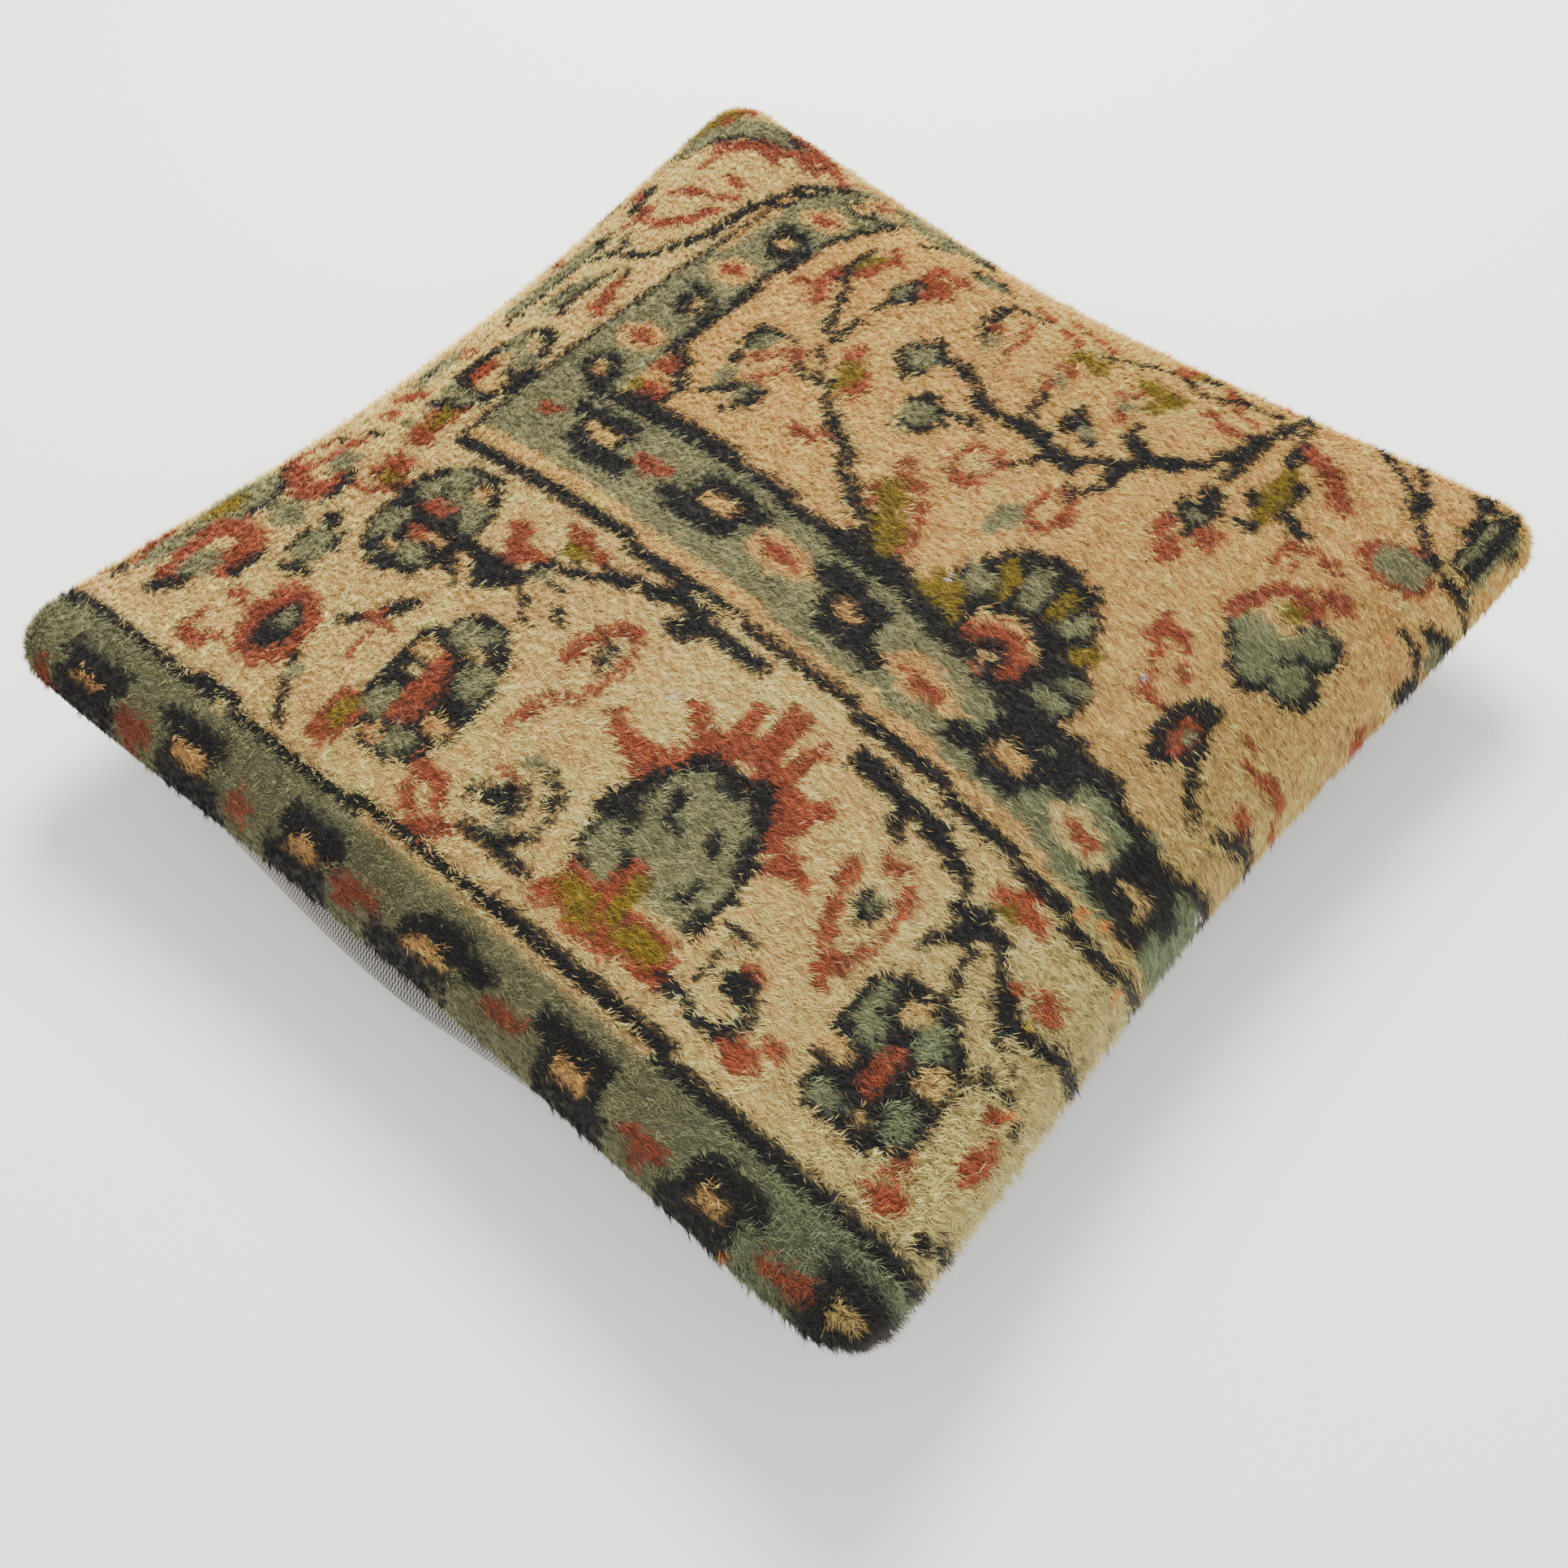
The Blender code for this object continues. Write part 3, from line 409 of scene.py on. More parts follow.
def draw_field_middle(c):
    """Field motifs above the level guard band: stems, leaves and buds."""
    c.stroke(NAVY, 1.9, (56.6, 81.0), (58.4, 79.2), (60.8, 77.6), (63.4, 76.4), (65.6, 75.0))
    c.stroke(NAVY, 2.0, (64.4, 74.2), (67.2, 72.8), (69.2, 71.2), (71.6, 70.0), (74.4, 68.6), (77.0, 67.0))
    c.blob(RUST, 57.9, 75.0, 4.0, 2.6, 12)
    c.blob(RUST, 60.2, 76.7, 2.0, 1.4)
    c.stroke(RUST, 1.6, (69.8, 79.2), (70.4, 77.4), (72.6, 76.6))
    c.blob(RUST, 72.0, 76.9, 3.6, 2.6)
    c.stroke(RUST, 1.8, (74.6, 75.4), (76.4, 73.0))
    c.stroke(RUST, 1.8, (77.0, 71.0), (77.6, 69.0))
    c.stroke(OLIVE, 3.4, (71.2, 75.0), (72.8, 72.6), (74.4, 70.6), (75.8, 68.9))
    c.stroke(RUST, 1.2, (69.4, 74.0), (70.8, 71.8))
    c.blob(NAVY, 59.8, 95.0, 5.2, 7.0)
    c.stroke(NAVY, 1.6, (59.6, 99.2), (59.8, 97.6))
    c.stroke(NAVY, 1.5, (60.2, 91.8), (60.6, 90.4))
    c.blob(SAGE, 60.0, 95.0, 3.0, 4.2)
    c.stroke(NAVY, 2.0, (62.2, 96.4), (65.0, 96.8), (68.0, 95.4))
    c.stroke(NAVY, 2.4, (68.6, 94.0), (72.0, 92.8), (76.0, 93.8), (80.0, 93.0), (83.6, 92.2))
    c.stroke(NAVY, 1.3, (76.0, 94.4), (74.6, 97.6), (73.4, 100.6))
    c.stroke(NAVY, 1.7, (79.6, 94.4), (79.0, 98.0), (78.4, 101.6))
    c.stroke(NAVY, 1.5, (79.0, 100.4), (81.0, 99.0))
    c.stroke(NAVY, 1.4, (80.6, 97.4), (83.6, 96.8))
    c.stroke(NAVY, 1.5, (83.4, 93.4), (86.0, 95.4), (87.8, 97.0))
    c.stroke(NAVY, 1.4, (88.0, 96.0), (88.3, 92.2), (87.0, 89.4), (86.2, 87.6))
    c.stroke(NAVY, 1.0, (80.4, 91.8), (80.2, 88.4))
    c.blob(SAGE, 82.2, 98.2, 2.4, 1.8)
    c.stroke(NAVY, 1.4, (85.4, 103.6), (86.2, 101.0))
    c.stroke(NAVY, 2.8, (86.6, 100.4), (89.0, 99.6), (92.0, 101.2))
    c.stroke(NAVY, 2.0, (89.6, 99.2), (88.0, 97.0))
    c.stroke(NAVY, 1.4, (92.2, 101.6), (94.2, 104.2), (95.2, 107.6), (95.6, 111.0), (96.2, 113.4))
    c.ring(NAVY, 66.2, 86.8, 6.4, 7.2, 1.5)
    c.blob(SAGE, 66.0, 86.6, 4.0, 4.4)
    c.blob(CAMEL, 63.4, 85.4, 1.6, 2.4)
    c.blob(NAVY, 65.4, 90.2, 3.2, 1.6)
    c.blob(NAVY, 71.2, 89.6, 3.2, 1.9, -15)
    c.stroke(NAVY, 1.0, (68.8, 89.2), (70.4, 89.4))
    c.ring(RUST, 75.4, 84.2, 5.4, 8.2, 1.5)
    c.blob(IVORY, 75.6, 84.0, 2.2, 4.6)
    c.blob(NAVY, 78.7, 87.0, 1.5, 2.0)
    c.ring(RUST, 86.2, 84.4, 4.8, 7.6, 1.3)
    c.blob(CAMEL, 86.2, 84.6, 2.0, 4.6)
    c.stroke(NAVY, 1.2, (86.0, 88.6), (86.4, 87.4))
    c.blob(SAGE, 83.2, 79.8, 3.0, 5.6, -14)
    c.blob(OLIVE, 73.2, 108.8, 3.0, 3.6)
    c.blob(OLIVE, 75.8, 108.8, 2.8, 3.4)
    c.blob(RUST, 73.4, 105.6, 2.4, 2.2)
    c.blob(SAGE, 74.0, 103.4, 2.2, 2.2)
    c.stroke(RUST, 1.4, (72.8, 102.8), (73.8, 101.0))
    c.blob(OLIVE, 82.2, 110.4, 3.6, 3.4)
    c.blob(OLIVE, 85.4, 110.2, 3.2, 4.0)
    c.stroke(OLIVE, 1.8, (85.2, 108.8), (84.8, 106.6))
    c.blob(RUST, 82.0, 107.8, 2.6, 2.2)
    c.stroke(RUST, 1.2, (80.6, 106.4), (81.4, 104.8), (83.2, 103.0))
    c.blob(SAGE, 82.9, 105.4, 2.8, 1.9)
    c.stroke(NAVY, 1.5, (66.0, 112.2), (61.6, 112.4), (60.8, 108.4), (61.6, 105.0), (63.2, 102.4))
    c.stroke(RUST, 1.4, (65.0, 109.4), (66.6, 107.0), (66.4, 102.4))
    c.blob(RUST, 63.0, 106.2, 1.8, 2.6)
    c.blob(SAGE, 64.4, 102.8, 2.0, 4.0)
    for x, y in ((64.8, 114.4), (69.0, 115.6), (73.0, 114.8), (70.0, 111.6)):
        c.stroke(RUST, 1.5, (x - 1.4, y + 0.6), (x + 1.4, y - 0.6))
    c.stroke(NAVY, 1.2, (74.6, 111.6), (78.0, 113.6), (81.0, 116.0), (84.6, 117.4))
    c.ring(NAVY, 87.4, 118.4, 6.4, 7.6, 1.5)
    c.blob(IVORY, 86.4, 118.2, 2.8, 3.0)
    c.stroke(RUST, 1.3, (88.6, 120.6), (89.2, 118.6))
    c.stroke(NAVY, 1.1, (90.6, 118.8), (93.0, 119.4), (95.6, 120.6))
    c.stroke(RUST, 1.8, (82.6, 121.2), (81.8, 118.0))
    c.stroke(OLIVE, 1.2, (83.8, 122.0), (83.4, 119.8))
    c.stroke(RUST, 1.6, (91.6, 124.6), (95.0, 123.6))
    c.stroke(RUST, 1.3, (91.6, 116.0), (95.0, 115.0))
    c.stroke(RUST, 1.8, (90.2, 112.0), (92.0, 110.6), (94.0, 111.6))


def draw_half_palmette(c):
    """The fan of sage and olive petals that stands on the level guard band."""
    c.area(NAVY, (82, 66.5), (84, 71.5), (86, 76), (89, 79), (92, 80.4), (94.5, 79), (96.5, 79.6),
           (99.5, 76.4), (101.5, 72.5), (103.6, 68.0), (104.4, 64.0), (100, 62), (88, 64.5))
    for angle, yarn, size in ((158, OLIVE, 4.4), (140, SAGE, 4.0), (118, OLIVE, 5.2), (100, SAGE, 5.6),
                              (80, OLIVE, 5.2), (62, SAGE, 4.6), (40, OLIVE, 3.8), (18, SAGE, 3.8)):
        a = math.radians(angle)
        x, y = 93.2 + 9.4 * math.cos(a), 65.2 + 9.8 * math.sin(a)
        c.blob(yarn, x, y, size, 2.2, angle)
    c.blob(OLIVE, 85.0, 66.4, 5.6, 3.2, -16)
    c.blob(SAGE, 101.0, 65.0, 4.0, 2.0, -8)
    c.blob(SAGE, 86.4, 71.2, 3.6, 2.4, 35)
    c.blob(CAMEL, 93.0, 67.6, 7.4, 4.2)
    c.blob(RUST, 93.0, 65.6, 7.6, 6.2)
    c.blob(NAVY, 93.0, 64.8, 4.2, 4.2)
    c.blob(IVORY, 93.0, 64.2, 1.8, 1.5)
    c.stroke(NAVY, 3.0, (84, 64.6), (90, 63.2))
    c.stroke(NAVY, 2.8, (96, 62.0), (104, 61.2))


def draw_field_right(c):
    """Field motifs on the right: twin stems, leaves, the large sage flower and the small navy one."""
    c.stroke(NAVY, 1.4, (97.2, 128), (98.0, 122), (97.0, 118), (97.2, 113), (97.0, 108), (97.0, 103))
    c.stroke(NAVY, 1.2, (99.4, 120.4), (99.0, 117.0))
    c.stroke(NAVY, 3.2, (97.8, 100.6), (98.2, 98.4))
    c.stroke(NAVY, 1.3, (95.8, 98.0), (96.2, 95.4), (98.0, 93.6), (99.4, 96.6))
    c.blob(SAGE, 97.9, 96.4, 2.4, 2.0)
    c.blob(RUST, 96.0, 92.4, 2.6, 4.0)
    c.blob(RUST, 100.8, 94.0, 3.2, 4.6)
    c.blob(RUST, 98.6, 89.6, 3.4, 4.2)
    c.stroke(NAVY, 1.4, (97.8, 94.6), (98.4, 93.0))
    c.blob(CAMEL, 99.6, 92.2, 1.4, 1.8)
    c.stroke(NAVY, 1.9, (100.4, 115.6), (100.8, 112.4), (101.8, 110.8))
    c.stroke(RUST, 2.7, (101.8, 115.2), (104.0, 114.0), (106.4, 112.0), (108.7, 110.2))
    c.area(NAVY, (100.4, 110.4), (104.6, 110.0), (105.0, 105.4), (108.6, 103.6), (108.0, 102.4),
           (104.4, 102.6), (103.6, 98.4), (101.4, 98.4), (101.6, 101.4), (99.8, 103.6), (101.0, 106.5))
    c.stroke(OLIVE, 2.4, (102.2, 109.6), (102.4, 106.4), (103.0, 102.4))
    c.stroke(RUST, 1.6, (107.4, 96.6), (107.6, 99.0))
    c.stroke(RUST, 1.7, (108.2, 100.6), (110.4, 101.6), (113.4, 100.4))
    c.blob(RUST, 109.6, 97.6, 1.4, 1.8)
    c.blob(RUST, 115.7, 97.4, 4.4, 2.8)
    c.stroke(RUST, 2.2, (107.6, 87.8), (108.8, 91.0), (110.4, 94.4), (112.6, 95.6), (115.0, 94.4))
    c.blob(IVORY, 110.6, 92.0, 1.6, 2.4)
    c.blob(OLIVE, 112.8, 92.4, 3.0, 2.8)
    for x, y, w, h in ((117.6, 90.8, 6.8, 6.6), (111.2, 86.6, 5.4, 5.8), (113.6, 84.2, 6.4, 7.4),
                       (118.0, 85.2, 7.4, 6.8)):
        c.blob(NAVY, x, y, w, h)
    for x, y, w, h in ((117.2, 91.0, 4.8, 4.8), (111.4, 87.4, 4.4, 4.8), (113.4, 85.0, 4.6, 5.6),
                       (118.0, 85.4, 4.6, 4.4)):
        c.blob(SAGE, x, y, w, h)
    c.blob(SAGE, 114.4, 88.6, 5.0, 2.6)
    c.blob(CAMEL, 113.6, 90.4, 3.2, 1.8)
    c.stroke(NAVY, 1.2, (116.2, 88.4), (119.6, 88.4))
    c.stroke(RUST, 1.3, (103.3, 82.4), (103.6, 79.0))
    c.stroke(RUST, 1.7, (104.0, 81.2), (107.6, 80.6))
    c.stroke(RUST, 1.3, (104.8, 79.0), (105.6, 76.8))
    c.stroke(RUST, 1.2, (107.8, 79.4), (109.6, 76.4))
    c.stroke(RUST, 1.4, (106.4, 75.4), (107.0, 72.8), (110.0, 72.4))
    c.blob(NAVY, 113.0, 71.8, 5.6, 9.6)
    c.blob(NAVY, 113.2, 75.6, 3.4, 2.6)
    c.blob(NAVY, 113.0, 67.4, 3.4, 2.6)
    c.stroke(NAVY, 1.5, (115.6, 73.6), (116.2, 70.4))
    c.blob(RUST, 113.3, 71.6, 2.8, 4.8)
    c.blob(SAGE, 113.3, 71.8, 1.3, 1.8)
    c.stroke(NAVY, 1.5, (115.8, 69.4), (117.8, 67.2), (119.0, 65.6), (121.0, 64.6))
    c.stroke(NAVY, 2.0, (123.6, 65.4), (126.0, 66.8), (128, 68.6))
    c.stroke(RUST, 1.7, (120.4, 74.4), (126.4, 75.0))
    c.blob(RUST, 120.0, 76.6, 1.6, 1.3)
    c.blob(RUST, 124.6, 69.0, 3.0, 2.0)
    c.blob(RUST, 127.6, 72.8, 1.6, 2.2)
    c.blob(RUST, 127.6, 88.4, 1.8, 2.2)
    c.stroke(NAVY, 1.4, (122.8, 100.6), (126.0, 100.6), (127.4, 98.6), (127.4, 95.6))
    c.stroke(NAVY, 1.5, (125.2, 102.2), (128, 105.6))
    c.blob(SAGE, 127.4, 102.4, 1.8, 2.2)
    c.ring(RUST, 117.4, 106.8, 8.6, 7.2, 1.3, 25)
    c.blob(SAGE, 118.0, 107.4, 6.4, 5.2, 25)
    c.blob(IVORY, 121.0, 103.4, 3.0, 2.0)
    c.stroke(NAVY, 1.7, (105.0, 128), (107.6, 124.0), (111.0, 120.6), (113.4, 118.0), (115.6, 115.0),
             (117.6, 112.6), (120.0, 111.0), (124.0, 109.8), (128, 109.6))
    c.stroke(NAVY, 1.2, (110.8, 125.6), (113.0, 121.6), (115.6, 117.6))
    c.stroke(NAVY, 1.8, (118.8, 124.6), (121.0, 120.4), (121.4, 116.0), (121.8, 112.4))
    c.stroke(NAVY, 1.5, (124.4, 124.4), (124.0, 118.0), (124.0, 112.6))
    c.stroke(NAVY, 1.3, (126.4, 120.8), (126.6, 118.6))
    c.stroke(SAGE, 1.4, (122.8, 123), (122.6, 114))
    c.stroke(SAGE, 1.4, (125.4, 122), (125.4, 112))
    c.stroke(NAVY, 1.4, (119.4, 126.4), (122.4, 121.6), (124.6, 126.4))


def draw_far_corner(c):
    """The ivory border's end at the far corner: a large leaf and a rust palmette."""
    c.area(OLIVE, (0, 112), (3, 114), (6, 120), (6, 128), (0, 128))
    c.stroke(SAGE, 4.6, (8.6, 121.0), (12.0, 122.4), (15.4, 121.6))
    c.stroke(SAGE, 4.0, (8.6, 118.8), (6.2, 117.0), (5.0, 113.2))
    c.stroke(NAVY, 1.5, (13.0, 124.4), (15.8, 123.0), (17.8, 120.6))
    c.stroke(NAVY, 1.5, (9.6, 118.0), (13.0, 119.4), (15.6, 120.0))
    c.stroke(NAVY, 1.7, (6.6, 114.4), (9.2, 116.8))
    c.stroke(NAVY, 1.6, (3.6, 110.2), (5.6, 110.6))
    c.stroke(RUST, 3.2, (15.6, 125.4), (19.4, 123.4), (23.6, 121.6))
    c.stroke(RUST, 1.8, (22.6, 122.2), (28.0, 119.0))
    c.stroke(RUST, 2.6, (18.6, 120.6), (21.0, 119.0), (23.4, 118.0))
    c.stroke(RUST, 3.2, (10.0, 114.6), (12.6, 117.0), (16.4, 118.4))
    c.stroke(RUST, 1.8, (15.4, 116.6), (18.0, 115.6))
    c.stroke(RUST, 1.2, (10.6, 112.8), (10.8, 108.6))
    c.blob(RUST, 5.2, 124.0, 3.0, 2.0)
    c.blob(RUST, 5.0, 120.4, 2.0, 2.0)
    c.stroke(RUST, 1.8, (15.6, 109.0), (18.4, 108.4))
    c.stroke(RUST, 1.6, (10.6, 102.2), (13.0, 104.0), (16.6, 104.6), (19.8, 106.0))
    c.stroke(RUST, 2.2, (18.6, 102.0), (17.8, 99.0), (15.6, 96.4), (12.0, 96.2), (10.4, 98.2))
    c.stroke(RUST, 1.5, (11.0, 96.4), (10.6, 93.8))
    c.stroke(NAVY, 2.2, (6.2, 103.4), (7.2, 100.2), (8.6, 97.2))
    c.stroke(RUST, 1.6, (5.0, 101.4), (6.4, 99.4))
    c.area(OLIVE, (0, 92), (3.4, 94), (4.6, 98), (3, 101), (0, 102))
    c.stroke(NAVY, 1.4, (12.4, 92.2), (14.4, 90.0))


def draw_upright_border(c):
    """The ivory border to the left of the upright guard band."""
    c.stroke(SAGE, 3.0, (9.4, 91.0), (10.0, 85.0), (9.6, 78.0), (9.4, 73.0))
    c.stroke(NAVY, 1.3, (8.6, 92.0), (9.6, 89.4), (11.2, 88.8))
    c.stroke(NAVY, 1.6, (11.6, 85.6), (14.2, 87.2))
    c.stroke(NAVY, 1.7, (14.2, 88.2), (17.2, 88.6))
    c.stroke(NAVY, 1.3, (18.4, 86.8), (20.4, 85.0))
    c.stroke(NAVY, 1.3, (11.4, 84.6), (11.4, 76.0), (12.2, 70.6))
    c.stroke(NAVY, 1.3, (14.6, 79.8), (14.6, 76.0))
    c.stroke(NAVY, 1.3, (17.8, 84.6), (17.6, 79.0), (18.0, 74.6))
    c.stroke(SAGE, 1.4, (16.0, 82.0), (15.8, 74.0))
    c.stroke(RUST, 2.2, (19.8, 83.2), (21.4, 80.6), (22.6, 77.0))
    c.stroke(RUST, 1.8, (4.6, 84.4), (8.0, 82.6))
    c.ring(NAVY, 19.8, 63.0, 9.4, 18.0, 1.5)
    c.blob(SAGE, 17.8, 68.2, 4.2, 3.4)
    c.blob(SAGE, 21.8, 66.2, 3.4, 3.4)
    c.blob(NAVY, 22.0, 62.8, 2.8, 2.2)
    c.blob(NAVY, 16.6, 61.6, 2.0, 1.8)
    c.blob(RUST, 18.6, 61.2, 3.2, 6.6)
    c.blob(CAMEL, 21.6, 60.4, 2.4, 2.6)
    c.blob(SAGE, 17.2, 57.6, 2.8, 3.2)
    c.blob(SAGE, 20.4, 57.0, 2.6, 2.2)
    c.stroke(NAVY, 1.4, (16.4, 59.6), (19.0, 58.6), (22.6, 58.4))
    c.blob(NAVY, 17.8, 54.6, 4.0, 2.2)
    c.blob(RUST, 20.6, 50.8, 3.8, 7.2)
    c.blob(OLIVE, 21.0, 53.2, 2.4, 4.8)
    c.stroke(RUST, 1.3, (22.2, 55.4), (22.8, 53.0))
    c.blob(RUST, 21.4, 48.4, 4.6, 2.8)
    c.blob(SAGE, 17.3, 50.0, 1.7, 2.8)
    c.stroke(RUST, 2.0, (10.4, 53.6), (14.2, 55.4))
    c.blob(RUST, 13.2, 50.6, 3.4, 2.0)
    c.blob(SAGE, 10.4, 60.0, 4.0, 8.0)
    c.blob(NAVY, 9.6, 58.8, 2.0, 2.0)
    c.blob(RUST, 11.0, 64.4, 3.0, 2.0)
    c.stroke(NAVY, 1.5, (13.2, 46.0), (15.2, 46.6))
    c.stroke(NAVY, 1.4, (8.4, 44.0), (10.2, 44.8))
    c.blob(RUST, 22.6, 44.4, 5.4, 2.4)
    c.blob(RUST, 21.0, 42.2, 2.2, 2.4)
    c.blob(OLIVE, 23.4, 42.0, 2.6, 2.2)
    c.stroke(RUST, 1.4, (21.0, 39.4), (24.4, 40.2), (26.2, 42.6))


def draw_left_leaves(c):
    """Large sage and rust leaves at the left end of the main border."""
    c.blob(NAVY, 8.4, 30.4, 9.6, 12.6)
    c.blob(SAGE, 7.2, 30.6, 8.0, 11.2)
    c.blob(OLIVE, 6.8, 29.4, 3.4, 6.0)
    c.stroke(NAVY, 1.4, (6.4, 37.6), (8.6, 38.0))
    c.stroke(RUST, 3.2, (9.6, 38.2), (12.0, 36.4), (14.8, 35.4), (17.2, 36.6), (17.8, 38.8))
    c.stroke(NAVY, 1.8, (17.6, 40.2), (19.2, 39.0), (19.4, 35.8))
    c.stroke(RUST, 1.6, (5.4, 37.8), (6.6, 41.0), (8.6, 43.0))
    c.stroke(RUST, 2.2, (11.6, 40.4), (12.4, 43.2), (13.6, 44.6))
    c.blob(SAGE, 15.0, 41.2, 4.8, 3.8)
    c.blob(SAGE, 16.4, 32.0, 7.0, 3.2)
    c.stroke(RUST, 3.4, (9.4, 25.6), (12.2, 27.6), (16.0, 27.2), (17.2, 24.4), (16.6, 22.6))
    c.stroke(NAVY, 1.5, (18.8, 26.4), (19.0, 24.0), (17.8, 22.2))
    c.stroke(RUST, 3.0, (10.2, 23.8), (10.8, 20.4), (12.0, 17.8))
    c.stroke(RUST, 1.8, (4.2, 23.4), (4.2, 19.6), (5.4, 17.8))
    c.blob(SAGE, 7.2, 20.6, 3.8, 7.2)
    c.blob(SAGE, 13.8, 21.4, 3.6, 5.2)
    c.blob(NAVY, 5.4, 15.6, 3.0, 2.4)
    c.stroke(NAVY, 1.7, (11.8, 15.6), (13.2, 17.0), (14.6, 18.8))
    c.blob(NAVY, 22.8, 34.2, 3.0, 2.6)
    c.blob(SAGE, 23.6, 30.4, 4.4, 4.8)
    c.stroke(NAVY, 1.2, (21.6, 31.0), (21.8, 28.8))
    c.stroke(NAVY, 1.5, (22.8, 26.8), (26.2, 27.4))
    c.stroke(NAVY, 1.2, (25.4, 33.6), (26.0, 31.6))
    c.blob(RUST, 28.9, 20.8, 8.6, 11.0)
    c.blob(NAVY, 28.9, 20.8, 3.8, 6.6)
    c.blob(SAGE, 28.8, 21.8, 1.7, 2.6)
    c.blob(IVORY, 31.6, 16.2, 2.0, 1.6)
    c.blob(RUST, 22.2, 20.6, 4.2, 2.0)
    c.blob(RUST, 21.6, 14.2, 5.4, 2.2)
    c.stroke(RUST, 1.4, (19.6, 15.6), (20.6, 17.4))
    c.stroke(RUST, 1.3, (25.0, 17.0), (23.6, 15.2))
    c.stroke(NAVY, 1.6, (34.8, 25.2), (36.6, 26.6), (38.2, 29.2), (40.0, 31.2))
    c.stroke(RUST, 1.6, (37.0, 27.8), (39.8, 27.6))
    c.stroke(RUST, 1.2, (38.4, 25.6), (38.4, 22.2))
    c.stroke(NAVY, 1.5, (33.8, 19.2), (35.4, 16.4), (36.6, 14.0), (38.6, 12.4))
    c.blob(SAGE, 35.0, 17.8, 2.0, 2.2)


